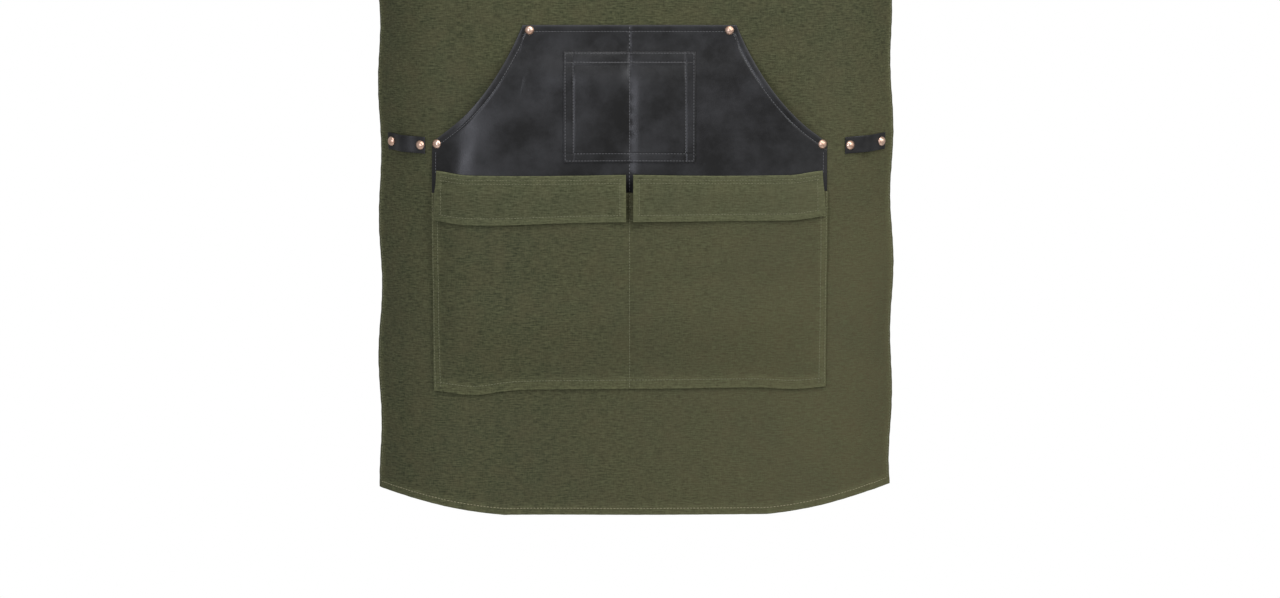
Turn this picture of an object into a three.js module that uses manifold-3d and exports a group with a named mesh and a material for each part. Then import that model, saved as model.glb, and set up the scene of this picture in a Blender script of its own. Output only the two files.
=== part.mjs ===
// A canvas and leather work apron hanging by its neck strap from a wall hook.
// Millimetres, +Z up. The origin is the middle of the hook's back face, and the apron faces -Y.
import * as THREE from 'three';
import { mergeVertices } from 'three/addons/utils/BufferGeometryUtils.js';
import Module from 'manifold-3d';

const wasm = await Module();
wasm.setup();

// ---- Driving dimensions ----
const gap = 0.3; // between pieces that touch

const canvasThick = 1.6;
const leatherThick = 2;

const apronLength = 914; // from the bib's top to the lowest point of the hem
const apronWidth = 680; // flat cut width
const bibWidth = 250;
const waistHeight = 672; // hem to the waist corner, where the armhole ends
const hemRise = 28; // how far the hem's corners are cut up
const hemFlat = 165; // half of the hem's straight stretch
const frontFlat = 214; // half of the front that hangs flat
const sideRadius = 131; // curl of the sides, round the wearer
const skirtDistance = 72; // from the wall to the middle of the skirt's cloth
const bibDistance = 60; // from the wall to the middle of the bib's cloth
const bibTopHeight = -262; // the bib's top, from the hook

const pocketShift = -7; // the pockets sit a little to the left of the middle
const pocketHalf = 246; // half width of the hand pocket and of the canvas pocket
const handTop = 617; // heights from the hem
const handTopHalf = 132.5;
const handCorner = 471; // the lower end of the curved hand openings
const handBottom = 330;
const handSewn = 16; // the leather lies flat this far below its top edge
const handDepth = 10.7; // how far the leather stands off where the hand goes in
const toolTop = 409;
const toolBottom = 161;
const toolDepth = 17; // how far the canvas pocket stands off at its mouth
const sideRound = 50; // width of the pockets' rounded sides
const patchHalf = 82;
const patchTop = 583;
const patchBottom = 445;
const patchDepth = 6.5;
const patchRound = 16;

const flapTop = 432;
const flapFold = 420; // the hinge line, under the flap's stitches
const flapBottom = 370;
const flapSplit = 9; // gap between the two flaps
const flapOverhang = 2; // past the pocket's side

const loopHeight = 468; // tool loops and lower rivets
const loopEdge = 19; // from the apron's side to a loop's outer end
const loopLength = 59;
const loopWidth = 21;
const loopBow = 8.5;
const rivetInset = 6.5;

const rivetRadius = 6; // the dome
const rivetDome = 3.2;
const postRadius = 1.6;
const burrRadius = 4.5;
const burrThick = 1.2;

const plateWidth = 30;
const plateHeight = 96;
const plateThick = 4;
const armRadius = 5;
const armReach = 97;
const armDrop = 9; // from the origin down to the arm's axis
const tipRise = 34;
const screwSpacing = 64;

const strapWidth = 22;
const strapThick = 2.5;
const ringWire = 1.8; // radius of the ring's wire
const ringSpare = 5; // how much wider than the strap the ring is inside
const ringRise = 19; // from the ring's lower bar to its upper bar
const tabInset = 24; // from the bib's side to the middle of its tab
const tabSpare = 2; // how much wider than the strap its tab is
const tabDrop = 40; // how far the tab reaches down over the bib
const barRise = 7; // from the bib's top to the ring's lower bar
const frameWire = 1.7; // radius of the buckle's bars
const frameLength = 27;
const buckleRise = 62; // from the ring's upper bar to the buckle's heel bar
const tailLength = 40; // of the long strap below the heel bar
const tieWidth = 25;
const tieLength = 600;
const tieDrop = 20; // from the waist corner down to the tie's rivet
const tieInset = 22; // from the apron's side to the tie's middle

// ---- Materials ----
const finish = (color, roughness, metalness = 0) =>
  new THREE.MeshStandardMaterial({ color, roughness, metalness, side: THREE.DoubleSide });
const canvas = finish(0x4b4d39, 0.9);
const leather = finish(0x3a3a3d, 0.5);
const copper = finish(0xbe8c6e, 0.3, 1);
const brass = finish(0xa98f5a, 0.35, 1);
const iron = finish(0x26262a, 0.5, 0.6);
const steel = finish(0x8d8f92, 0.35, 1);
const webbing = finish(0x3f4231, 0.95);

const apron = new THREE.Group();
const hemZ = bibTopHeight - apronLength;

function add(name, geometry, material) {
  const mesh = new THREE.Mesh(geometry, material);
  mesh.name = name;
  apron.add(mesh);
  return mesh;
}

// ---- Cutting and joining ----
function solid(geometry) {
  const bare = geometry.clone();
  bare.deleteAttribute('normal');
  bare.deleteAttribute('uv');
  const merged = mergeVertices(bare, 1e-4);
  return new wasm.Manifold(
    new wasm.Mesh({
      numProp: 3,
      vertProperties: new Float32Array(merged.attributes.position.array),
      triVerts: new Uint32Array(merged.index.array),
    }),
  );
}

function geometryOf(manifold) {
  const mesh = manifold.getMesh();
  const geometry = new THREE.BufferGeometry();
  geometry.setAttribute('position', new THREE.BufferAttribute(mesh.vertProperties, 3));
  geometry.setIndex(new THREE.BufferAttribute(mesh.triVerts, 1));
  geometry.computeVertexNormals();
  return geometry;
}

const cut = (geometry, tools) =>
  geometryOf(tools.reduce((body, tool) => body.subtract(solid(tool)), solid(geometry)));
const join = (geometries) =>
  geometryOf(geometries.map(solid).reduce((body, other) => body.add(other)));

// ---- The hanging cloth ----
// The cloth's plan curve: flat across the front, then an arc back at each side.
function plan(s) {
  const side = Math.sign(s);
  const turn = Math.max(0, Math.abs(s) - frontFlat) / sideRadius;
  const flat = Math.min(Math.abs(s), frontFlat);
  return {
    x: side * (flat + sideRadius * Math.sin(turn)),
    back: sideRadius * (1 - Math.cos(turn)),
    out: new THREE.Vector3(side * Math.sin(turn), -Math.cos(turn), 0),
  };
}

const ease = (t) => THREE.MathUtils.smoothstep(t, 0, 1);
const round = (t) => Math.sqrt(1 - (1 - THREE.MathUtils.clamp(t, 0, 1)) ** 2);

// A point over the cloth: arc length s from the middle, height h above the hem, and how far it stands off.
function over(s, h, off = 0) {
  const { x, back, out } = plan(s);
  const bib = ease((h - waistHeight) / (apronLength - tabDrop - 20 - waistHeight));
  const front = skirtDistance + (bibDistance - skirtDistance) * bib;
  return new THREE.Vector3(x, back - front, hemZ + h).addScaledVector(out, off);
}

const steps = (from, to, size) => {
  const count = Math.max(1, Math.round(Math.abs(to - from) / size));
  return Array.from({ length: count + 1 }, (_, i) => from + ((to - from) * i) / count);
};
const chain = (...runs) => runs.flatMap((run, i) => (i ? run.slice(1) : run));

// A closed sheet from a grid of points on its two faces: grid[i][j] = { front, back }.
function sheet(grid) {
  const columns = grid.length;
  const rows = grid[0].length;
  const positions = ['front', 'back'].flatMap((face) =>
    grid.flatMap((column) => column.flatMap((at) => at[face].toArray())));
  const at = (face, i, j) => (face * columns + i) * rows + j;
  const index = [];
  const quad = (a, b, c, d) => index.push(a, b, c, a, c, d);
  for (let i = 0; i < columns - 1; i++)
    for (let j = 0; j < rows - 1; j++) {
      quad(at(0, i, j), at(0, i + 1, j), at(0, i + 1, j + 1), at(0, i, j + 1));
      quad(at(1, i, j), at(1, i, j + 1), at(1, i + 1, j + 1), at(1, i + 1, j));
    }
  for (let i = 0; i < columns - 1; i++) {
    quad(at(0, i, 0), at(1, i, 0), at(1, i + 1, 0), at(0, i + 1, 0));
    quad(at(0, i, rows - 1), at(0, i + 1, rows - 1), at(1, i + 1, rows - 1), at(1, i, rows - 1));
  }
  for (let j = 0; j < rows - 1; j++) {
    quad(at(0, 0, j), at(0, 0, j + 1), at(1, 0, j + 1), at(1, 0, j));
    const last = columns - 1;
    quad(at(0, last, j), at(1, last, j), at(1, last, j + 1), at(0, last, j + 1));
  }
  const geometry = new THREE.BufferGeometry();
  geometry.setAttribute('position', new THREE.Float32BufferAttribute(positions, 3));
  geometry.setIndex(index);
  geometry.computeVertexNormals();
  return geometry;
}

// A sheet that follows the cloth. rowsAt(s) lists the heights of a column, the same number in each.
// offAt is the stand-off of the sheet's middle, and backAt is the stand-off of its back face.
function clothSheet(columns, rowsAt, offAt, thick, backAt = (s, h) => offAt(s, h) - thick / 2) {
  const faces = (s, h) => ({
    front: over(s, h, offAt(s, h) + thick / 2),
    back: over(s, h, backAt(s, h)),
  });
  return sheet(columns.map((s) => rowsAt(s).map((h) => faces(s, h))));
}

// Height of a curved edge at distance u from the middle: a quadratic from start, by way of bend, to end.
function curveHeight(start, bend, end, u) {
  const a = start[0] - 2 * bend[0] + end[0];
  const b = 2 * (bend[0] - start[0]);
  const c = start[0] - u;
  const root = Math.sqrt(Math.max(0, b * b - 4 * a * c));
  const t = Math.abs(a) < 1e-9 ? -c / b : (-b + root) / (2 * a);
  return (1 - t) ** 2 * start[1] + 2 * t * (1 - t) * bend[1] + t ** 2 * end[1];
}

// ---- Apron panel ----
const panelHalf = apronWidth / 2;
const bibHalf = bibWidth / 2;
const armholeBend = [
  bibHalf + 0.18 * (panelHalf - bibHalf),
  waistHeight + 0.14 * (apronLength - waistHeight),
];

function hemHeight(s) {
  const t = THREE.MathUtils.clamp((Math.abs(s) - hemFlat) / (panelHalf - hemFlat), 0, 1);
  return hemRise * (0.5 * t + 0.5 * ease(t));
}

function apronTop(s) {
  if (Math.abs(s) <= bibHalf) return apronLength;
  return curveHeight([bibHalf, apronLength], armholeBend, [panelHalf, waistHeight], Math.abs(s));
}

function mirrored(values) {
  return chain(values.map((v) => -v).reverse(), values);
}

const panelColumns = mirrored(
  chain(steps(0, bibHalf, 42), steps(bibHalf, bibHalf + 40, 8), steps(bibHalf + 40, frontFlat, 16),
    steps(frontFlat, panelHalf, 14)),
);
// Rows are level up to the waist, and fan out above it.
const levelTop = waistHeight - 12;
const panelRows = (s) =>
  chain([hemHeight(s), hemRise + 12], steps(hemRise + 12, levelTop, 155),
    steps(levelTop, apronTop(s), (apronTop(s) - levelTop) / 7));

// A cylinder across the cloth at s, h, for rivets and their holes: from and to are stand-off distances.
function across(s, h, radius, from, to, sides = 10) {
  const { out } = plan(s);
  const geometry = new THREE.CylinderGeometry(radius, radius, to - from, sides);
  geometry.applyQuaternion(new THREE.Quaternion().setFromUnitVectors(new THREE.Vector3(0, 1, 0), out));
  const middle = over(s, h, (from + to) / 2);
  return geometry.translate(middle.x, middle.y, middle.z);
}
const holeRadius = postRadius + gap;
const holes = (places) => places.map(({ s, h }) => across(s, h, holeRadius, -20, 40));

// ---- Places of the rivets ----
const loopOuter = panelHalf - loopEdge; // arc lengths from the apron's middle
const loopInner = loopOuter - loopLength;
const sides = [
  { name: 'left', sign: -1 },
  { name: 'right', sign: 1 },
];
const upperRivets = sides.map(({ name, sign }) => ({
  name: `pocket_rivet_upper_${name}`,
  s: pocketShift + sign * (handTopHalf - 8.5),
  h: handTop - rivetInset,
}));
const lowerRivets = sides.map(({ name, sign }) => ({
  name: `pocket_rivet_lower_${name}`,
  s: pocketShift + sign * (pocketHalf - rivetInset),
  h: loopHeight + 1,
}));
const loopRivets = sides.flatMap(({ name, sign }) => [
  { name: `loop_rivet_${name}_inner`, side: name, s: sign * (loopInner + rivetInset), h: loopHeight },
  { name: `loop_rivet_${name}_outer`, side: name, s: sign * (loopOuter - rivetInset), h: loopHeight },
]);
const tabRivets = sides.flatMap(({ name, sign }) => [
  { name: `tab_rivet_${name}_upper`, side: name, s: sign * (bibHalf - tabInset), h: apronLength - 13 },
  { name: `tab_rivet_${name}_lower`, side: name, s: sign * (bibHalf - tabInset), h: apronLength - 30 },
]);
const tieRivets = sides.map(({ name, sign }) => ({
  name: `tie_rivet_${name}`,
  side: name,
  s: sign * (panelHalf - tieInset),
  h: waistHeight - tieDrop,
}));

add(
  'apron_panel',
  cut(clothSheet(panelColumns, panelRows, () => 0, canvasThick),
    holes([...upperRivets, ...lowerRivets, ...loopRivets, ...tabRivets, ...tieRivets])),
  canvas,
);

// ---- Leather hand pocket ----
const sideShape = (s) => round((pocketHalf - Math.abs(s - pocketShift)) / sideRound);
const leatherSewn = canvasThick / 2 + gap + leatherThick / 2; // stand-off where it is sewn down
const panelFace = canvasThick / 2 + gap;
const canvasSewn = leatherSewn + leatherThick / 2 + gap + canvasThick / 2;

function leatherOff(s, h) {
  const top = ease((handTop - handSewn - h) / 46);
  const bottom = ease((h - handBottom) / 60);
  return leatherSewn + handDepth * sideShape(s) * top * bottom;
}

function handEdge(s) {
  const u = Math.abs(s - pocketShift);
  if (u <= handTopHalf) return handTop;
  const bend = [
    handTopHalf + 0.36 * (pocketHalf - handTopHalf),
    handCorner + 0.33 * (handTop - handCorner),
  ];
  return curveHeight([handTopHalf, handTop], bend, [pocketHalf, handCorner], u);
}

// The centre seam is a thin wall on a pocket's back, from the sheet to what lies behind it.
const seamHalf = 1;
const seamed = (off, thick, behind) => (s, h) =>
  Math.abs(s - pocketShift) <= seamHalf + 0.01 ? behind(s, h) : off(s, h) - thick / 2;
const seamSteps = [seamHalf, seamHalf + 0.6];
const edgeStrip = 14; // of a pocket's side, where its curve is tightest
const pocketSteps = chain(seamSteps, steps(seamHalf + 0.6, handTopHalf, 45),
  steps(handTopHalf, pocketHalf - sideRound, 12),
  steps(pocketHalf - sideRound, pocketHalf - edgeStrip, 12),
  steps(pocketHalf - edgeStrip, pocketHalf, 4.7));

// Columns of a pocket, out from its seam on both sides.
const bothSides = (values) => [...values.map((v) => -v).reverse(), ...values].map((u) => u + pocketShift);
const pocketColumns = bothSides(pocketSteps);

const handRows = (s) => {
  const level = handCorner - 9;
  const edge = handEdge(s);
  const sewn = edge - Math.min(handSewn, 0.4 * (edge - level));
  return chain(steps(handBottom, level, 20), steps(level, sewn, (sewn - level) / 7), [sewn, edge]);
};
add(
  'leather_pocket',
  cut(
    clothSheet(pocketColumns, handRows, leatherOff, leatherThick,
      seamed(leatherOff, leatherThick, () => panelFace)),
    holes([...upperRivets, ...lowerRivets]),
  ),
  leather,
);

// ---- Leather patch pocket, on the hand pocket ----
const patchSewn = (s, h) => leatherOff(s, h) + leatherThick + 3 * gap;
function patchOff(s, h) {
  const u = patchHalf - Math.abs(s - pocketShift);
  return patchSewn(s, h) + patchDepth * round(u / patchRound) * ease((h - patchBottom) / 30);
}
const patchColumns = bothSides(chain(seamSteps, steps(seamHalf + 0.6, patchHalf - patchRound, 22),
  steps(patchHalf - patchRound, patchHalf, 4)));
add(
  'leather_patch_pocket',
  clothSheet(patchColumns, () => steps(patchBottom, patchTop, 14), patchOff, leatherThick,
    seamed(patchOff, leatherThick, (s, h) => patchSewn(s, h) - leatherThick / 2)),
  leather,
);

// ---- Canvas pocket, over the lower part of the hand pocket ----
const riseStart = handBottom - 36; // below the leather's foot, the canvas steps out to cover it
const riseEnd = handBottom - 4;
function toolOff(s, h) {
  const low = canvasThick + gap;
  const level = low + (canvasSewn - low) * ease((h - riseStart) / 30);
  return level + toolDepth * sideShape(s) * ease((h - toolBottom) / 90);
}
const toolRows = chain(steps(toolBottom, riseStart, 22), steps(riseStart, riseEnd, 16),
  [riseEnd, handBottom - 1], steps(handBottom - 1, toolTop, 20));
const behindTool = (s, h) =>
  h > handBottom - 2 ? leatherOff(s, h) + leatherThick / 2 + gap : panelFace;
add(
  'canvas_pocket',
  clothSheet(pocketColumns, () => toolRows, toolOff, canvasThick,
    seamed(toolOff, canvasThick, behindTool)),
  canvas,
);

// ---- Flaps: a sewn heading on the leather, and the part that lifts ----
const flapHeadingOff = (s, h) =>
  leatherOff(s, h) + leatherThick / 2 + gap + canvasThick / 2;
const flapKnee = toolTop + 3; // where a flap reaches the front of the canvas pocket
function flapOff(s, h) {
  const fall = ease((flapFold - h) / (flapFold - flapKnee));
  const onPocket = THREE.MathUtils.clamp(s - pocketShift, -pocketHalf, pocketHalf) + pocketShift;
  const clear = toolOff(onPocket, Math.min(h, toolTop)) + canvasThick + 2 * gap;
  return THREE.MathUtils.lerp(flapHeadingOff(s, flapFold), clear, fall);
}
for (const { name, sign } of sides) {
  const inner = flapSplit / 2;
  const outer = pocketHalf + flapOverhang;
  const run = chain(steps(inner, pocketHalf - sideRound, 26),
    steps(pocketHalf - sideRound, pocketHalf - edgeStrip, 9), steps(pocketHalf - edgeStrip, outer, 4));
  const columns = (sign > 0 ? run : run.map((u) => -u).reverse()).map((u) => u + pocketShift);
  add(`flap_${name}_heading`,
    clothSheet(columns, () => steps(flapFold + gap, flapTop, 6), flapHeadingOff, canvasThick), canvas);
  add(`flap_${name}`,
    clothSheet(columns, () => chain(steps(flapBottom, flapKnee, 14), steps(flapKnee, flapFold, 3)),
      flapOff, canvasThick), canvas);
}

// ---- Tool loops ----
function loopOff(s) {
  const t = (Math.abs(s) - loopInner) / loopLength;
  const ends = (2 * rivetInset) / loopLength;
  return leatherSewn + loopBow * ease(t / ends - 1) * ease((1 - t) / ends - 1);
}
for (const { name, sign } of sides) {
  const run = steps(loopInner, loopOuter, 3.6);
  const columns = sign > 0 ? run : run.map((u) => -u).reverse();
  const half = loopWidth / 2;
  const heights = [loopHeight - half, loopHeight + half];
  const own = loopRivets.filter((place) => place.side === name);
  add(`tool_loop_${name}`,
    cut(clothSheet(columns, () => heights, loopOff, leatherThick), holes(own)), leather);
}

// ---- Rivets and burrs ----
// A rivet is a dome on a post. Its burr is a washer on the back of the work, round the end of the post.
const capEdge = 0.6; // height of a dome's upright edge
const postEnd = gap + burrThick + 0.4; // how far a post passes the work's back
function rivet(radius, dome, base, tail) {
  const arc = Array.from({ length: 4 }, (_, i) => {
    const a = (i * Math.PI) / 8;
    return new THREE.Vector2(radius * Math.cos(a), base + capEdge + dome * Math.sin(a));
  });
  const profile = [
    new THREE.Vector2(0, tail),
    new THREE.Vector2(postRadius, tail),
    new THREE.Vector2(postRadius, base),
    new THREE.Vector2(radius, base),
    ...arc,
    new THREE.Vector2(0, base + capEdge + dome),
  ];
  return new THREE.LatheGeometry(profile, 10);
}

function washer(outer, inner, low, high) {
  return new THREE.LatheGeometry(
    [new THREE.Vector2(inner, low), new THREE.Vector2(outer, low), new THREE.Vector2(outer, high),
      new THREE.Vector2(inner, high), new THREE.Vector2(inner, low)], 10);
}

const axle = new THREE.Vector3(0, 1, 0); // the axis that rivets and washers are made on
const turnTo = (direction) => new THREE.Quaternion().setFromUnitVectors(axle, direction);
function onCloth(geometry, { s, h }) {
  geometry.applyQuaternion(turnTo(plan(s).out));
  const { x, y, z } = over(s, h);
  return geometry.translate(x, y, z);
}

function fasten(place, front, back) {
  add(place.name, onCloth(rivet(rivetRadius, rivetDome, front + gap, back - postEnd), place), copper);
  add(place.name.replace('rivet', 'burr'),
    onCloth(washer(burrRadius, holeRadius, back - gap - burrThick, back - gap), place), copper);
}

// The leather's slope under a rivet lifts one side of the dome.
const dome = [-rivetRadius, 0, rivetRadius];
const highest = ({ s, h }) => Math.max(...dome.flatMap((u) => dome.map((v) => leatherOff(s + u, h + v))));
for (const place of [...upperRivets, ...lowerRivets])
  fasten(place, highest(place) + leatherThick / 2, -canvasThick / 2);
const loopSlope = 0.8; // how far a loop has risen by the edge of its rivet's dome
for (const place of loopRivets)
  fasten(place, leatherSewn + leatherThick / 2 + loopSlope, -canvasThick / 2);

// ---- Bib tabs: a leather strip folded round the ring's lower bar and riveted through the bib ----
const barHeight = apronLength + barRise;
const barZ = hemZ + barHeight;
const loopHole = ringWire + 0.8;
// Extrudes a side view (y, z) across the width, centred on x.
function acrossWidth(shape, width, x) {
  const geometry = new THREE.ExtrudeGeometry(shape,
    { depth: width, bevelEnabled: false, curveSegments: 6 });
  geometry.translate(0, 0, -width / 2);
  const turn = new THREE.Matrix4().makeBasis(
    new THREE.Vector3(0, 1, 0), new THREE.Vector3(0, 0, 1), new THREE.Vector3(1, 0, 0));
  return geometry.applyMatrix4(turn).translate(x, 0, 0);
}

function tabShape() {
  const inner = canvasThick / 2 + gap;
  const outer = inner + leatherThick;
  const bow = loopHole + leatherThick;
  const low = barZ - barRise - tabDrop;
  const neck = barZ - bow;
  const shape = new THREE.Shape();
  shape.moveTo(-bibDistance - outer, low);
  shape.lineTo(-bibDistance - inner, low);
  shape.lineTo(-bibDistance - inner, neck + 1);
  shape.absarc(-bibDistance, barZ, loopHole, -Math.PI / 2 - 0.5, -Math.PI / 2 + 0.5, true);
  shape.lineTo(-bibDistance + inner, neck + 1);
  shape.lineTo(-bibDistance + inner, low);
  shape.lineTo(-bibDistance + outer, low);
  shape.lineTo(-bibDistance + outer, neck);
  shape.absarc(-bibDistance, barZ, bow, -Math.PI / 2 + 0.75, -Math.PI / 2 - 0.75, false);
  shape.lineTo(-bibDistance - outer, neck);
  return shape;
}
const tabFront = canvasThick / 2 + gap + leatherThick;
const legX = bibHalf - tabInset; // the tabs, the rings and the strap's feet
const tabWidth = strapWidth + tabSpare;
for (const { name, sign } of sides) {
  const own = tabRivets.filter((place) => place.side === name);
  add(`bib_tab_${name}`, cut(acrossWidth(tabShape(), tabWidth, sign * legX), holes(own)), leather);
}
for (const place of tabRivets) fasten(place, tabFront, -tabFront);

// ---- Strap rings: a bar in the tab's loop and a bar for the strap ----
const ringCorner = 3.2;
function ringGeometry(x) {
  const half = (strapWidth + ringSpare) / 2 + ringWire;
  const inset = half - ringCorner;
  const high = ringRise - ringCorner;
  const outline = [
    [inset, 0], [half, ringCorner], [half, high], [inset, ringRise],
    [-inset, ringRise], [-half, high], [-half, ringCorner], [-inset, 0],
  ];
  const points = outline.map(([right, up]) => new THREE.Vector3(x + right, -bibDistance, barZ + up));
  return wireLoop(points, ringWire, axle);
}

// A closed wire through points that lie in a plane with this normal, with mitred corners.
function wireLoop(points, radius, normal, around = 8) {
  const count = points.length;
  const positions = [];
  points.forEach((p, i) => {
    const before = p.clone().sub(points[(i + count - 1) % count]).normalize();
    const after = points[(i + 1) % count].clone().sub(p).normalize();
    const along = before.clone().add(after).normalize();
    const side = new THREE.Vector3().crossVectors(along, normal).normalize();
    const mitre = 1 / Math.max(0.5, along.dot(after));
    for (let k = 0; k < around; k++) {
      const a = (k * 2 * Math.PI) / around;
      positions.push(...p.clone().addScaledVector(side, Math.cos(a) * radius * mitre)
        .addScaledVector(normal, Math.sin(a) * radius).toArray());
    }
  });
  const index = [];
  for (let i = 0; i < count; i++)
    for (let k = 0; k < around; k++) {
      const a = i * around + k;
      const b = i * around + ((k + 1) % around);
      const c = ((i + 1) % count) * around + ((k + 1) % around);
      const d = ((i + 1) % count) * around + k;
      index.push(a, b, c, a, c, d);
    }
  const geometry = new THREE.BufferGeometry();
  geometry.setAttribute('position', new THREE.Float32BufferAttribute(positions, 3));
  geometry.setIndex(index);
  geometry.computeVertexNormals();
  return facingOut(geometry);
}

function facingOut(geometry) {
  if (solid(geometry).volume() > 0) return geometry;
  const index = geometry.index.array;
  for (let i = 0; i < index.length; i += 3)
    [index[i + 1], index[i + 2]] = [index[i + 2], index[i + 1]];
  geometry.computeVertexNormals();
  return geometry;
}

for (const { name, sign } of sides) add(`strap_ring_${name}`, ringGeometry(sign * legX), brass);

// ---- Neck strap ----
// Each leg runs from a ring's upper bar to the hook's arm. It lies flat to the front at its foot, and
// turns a quarter to lie flat on the arm.
const armZ = -armDrop;
const bowZ = barZ + ringRise; // the ring's upper bar, where a leg starts
const seat = armRadius + gap + strapThick / 2; // radius of the strap's middle over the arm
const footToArm = Math.hypot(legX, armZ - bowZ);
const legSlope = Math.atan2(legX, armZ - bowZ) - Math.asin(seat / footToArm);
const armPoint = (a) =>
  new THREE.Vector3(Math.cos(a) * seat, -bibDistance, armZ + Math.sin(a) * seat);
const legTop = (sign) => armPoint(sign > 0 ? legSlope : Math.PI - legSlope);
const legFoot = (sign) => new THREE.Vector3(sign * legX, -bibDistance, bowZ);
const legLength = legTop(1).distanceTo(legFoot(1));
const front = new THREE.Vector3(0, -1, 0);
const legUp = (sign) => legTop(sign).sub(legFoot(sign)).normalize();

// A band through frames { point, wide, out }: its width runs along wide, and its thickness along out.
function band(frames, width, thick) {
  const grid = frames.map(({ point, wide, out }) =>
    [-1, 1].map((edge) => {
      const middle = point.clone().addScaledVector(wide, (edge * width) / 2);
      const face = (side) => middle.clone().addScaledVector(out, (side * thick) / 2);
      return { front: face(1), back: face(-1) };
    }));
  return facingOut(sheet(grid));
}

// A frame on a leg, at a distance up it from the ring's upper bar, lifted forward off the leg's line.
const twistStart = 0.5;
const twistShare = 0.46;
const skewLength = 34;
function legFrame(sign, distance, lift = 0) {
  const up = legUp(sign);
  const turn = (Math.PI / 2) * ease((distance / legLength - twistStart) / twistShare);
  const outward = new THREE.Vector3().crossVectors(up, front).multiplyScalar(sign);
  const out = front.clone().multiplyScalar(Math.cos(turn)).addScaledVector(outward, Math.sin(turn));
  const square = new THREE.Vector3().crossVectors(up, out);
  // At its foot the strap sits square on the ring's bar, and it skews into line with the leg above it.
  const wide = new THREE.Vector3(1, 0, 0).lerp(square, ease(distance / skewLength)).normalize();
  return { point: legFoot(sign).addScaledVector(up, distance).addScaledVector(out, lift), wide, out };
}

// The same leg seen from behind: the strap's end after it has turned round a wire.
function behindFrame(sign, distance, lift) {
  const { point, wide, out } = legFrame(sign, distance, -lift);
  return { point, wide, out: out.negate() };
}

// Half a turn round a wire at a distance up the leg, under it or over it, from the back to the front.
const loopTurn = strapThick / 2 + ringWire + gap; // radius of a strap's middle round a wire
function wireTurn(sign, distance, way) {
  return steps(Math.PI, 0, Math.PI / 6).slice(1, -1).map((a) => {
    const { point, wide, out } = legFrame(sign, distance);
    const up = new THREE.Vector3().crossVectors(out, wide);
    const ray = out.clone().multiplyScalar(Math.cos(a)).addScaledVector(up, way * Math.sin(a));
    return { point: point.addScaledVector(ray, loopTurn), wide, out: ray };
  });
}

const heelBar = buckleRise; // the buckle's bars, by distance up the left leg
const topBar = buckleRise + frameLength;
const lapLength = 34; // of a strap's turned-back end
const pinched = strapThick / 2 + gap / 2; // from the leg's line to each of two layers that lie together
// How far each layer lies from the leg's line, near a wire that it has turned round.
const pinch = (fromWire) => THREE.MathUtils.lerp(loopTurn, pinched, ease((fromWire - 5) / 14));

// The long strap turns round the right ring, goes over the arm, and comes down through the buckle.
const overShort = loopTurn + strapThick + gap + 0.2;
const underTopBar = -(frameWire + gap + strapThick / 2 + 0.2);
const tailLift = pinched + strapThick + gap + 0.1;
function longLift(d) {
  const tail = THREE.MathUtils.lerp(tailLift, overShort, ease((d - heelBar + 22) / 16));
  const through = THREE.MathUtils.lerp(tail, underTopBar, ease((d - heelBar - 5) / (frameLength - 7)));
  return THREE.MathUtils.lerp(through, 0, ease((d - topBar - 4) / 22));
}
const rightLift = (d) => pinch(d) * (1 - ease((d - lapLength) / 26));
// The strap's outer edge on the right leg is its outer edge on the left leg too.
function comingDown(d) {
  const frame = legFrame(-1, d, longLift(d));
  frame.wide.negate();
  return frame;
}
const longStrap = [
  ...steps(lapLength, 4, 6).map((d) => behindFrame(1, d, pinch(d))),
  ...wireTurn(1, 0, -1),
  ...steps(4, legLength, 9).map((d) => legFrame(1, d, rightLift(d))),
  ...steps(legSlope, Math.PI - legSlope, Math.PI / 7).slice(1, -1).map((a) => ({
    point: armPoint(a),
    wide: legFrame(1, legLength).wide,
    out: new THREE.Vector3(Math.cos(a), 0, Math.sin(a)),
  })),
  ...steps(legLength, topBar + 26, 9).map(comingDown),
  ...steps(topBar + 26, heelBar - tailLength, 4).slice(1).map(comingDown),
];

// A block on a leg: width across it, between two distances up it and two lifts.
function legBlock(sign, width, from, to, low, high) {
  const { point, wide, out } = legFrame(sign, (from + to) / 2, (low + high) / 2);
  const up = legUp(sign);
  const geometry = new THREE.BoxGeometry(width, to - from, high - low);
  const square = new THREE.Vector3().crossVectors(wide, up);
  geometry.applyMatrix4(new THREE.Matrix4().makeBasis(wide, up, square));
  return geometry.translate(point.x, point.y, point.z);
}

const prongRadius = 1.4;
const prongSlot = 2 * (prongRadius + 0.8);
const strapRivetAt = 25; // up the right leg
function onLeg(geometry, sign, distance) {
  const { point, out } = legFrame(sign, distance);
  geometry.applyQuaternion(turnTo(out));
  return geometry.translate(point.x, point.y, point.z);
}
const strapHole = () => onLeg(new THREE.CylinderGeometry(holeRadius, holeRadius, 20, 10), 1, strapRivetAt);
add('neck_strap_long',
  cut(band(longStrap, strapWidth, strapThick),
    [legBlock(-1, prongSlot, heelBar - 5, heelBar + 21, -4, 12), strapHole()]), leather);

const strapFace = pinched + strapThick / 2;
const strapDome = 5;
const strapDomeHeight = 2.4;
const onStrap = (geometry) => onLeg(geometry, 1, strapRivetAt);
add('strap_rivet',
  onStrap(rivet(strapDome, strapDomeHeight, strapFace + gap, -strapFace - postEnd)), copper);
add('strap_burr',
  onStrap(washer(burrRadius, holeRadius, -strapFace - gap - burrThick, -strapFace - gap)), copper);

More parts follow.
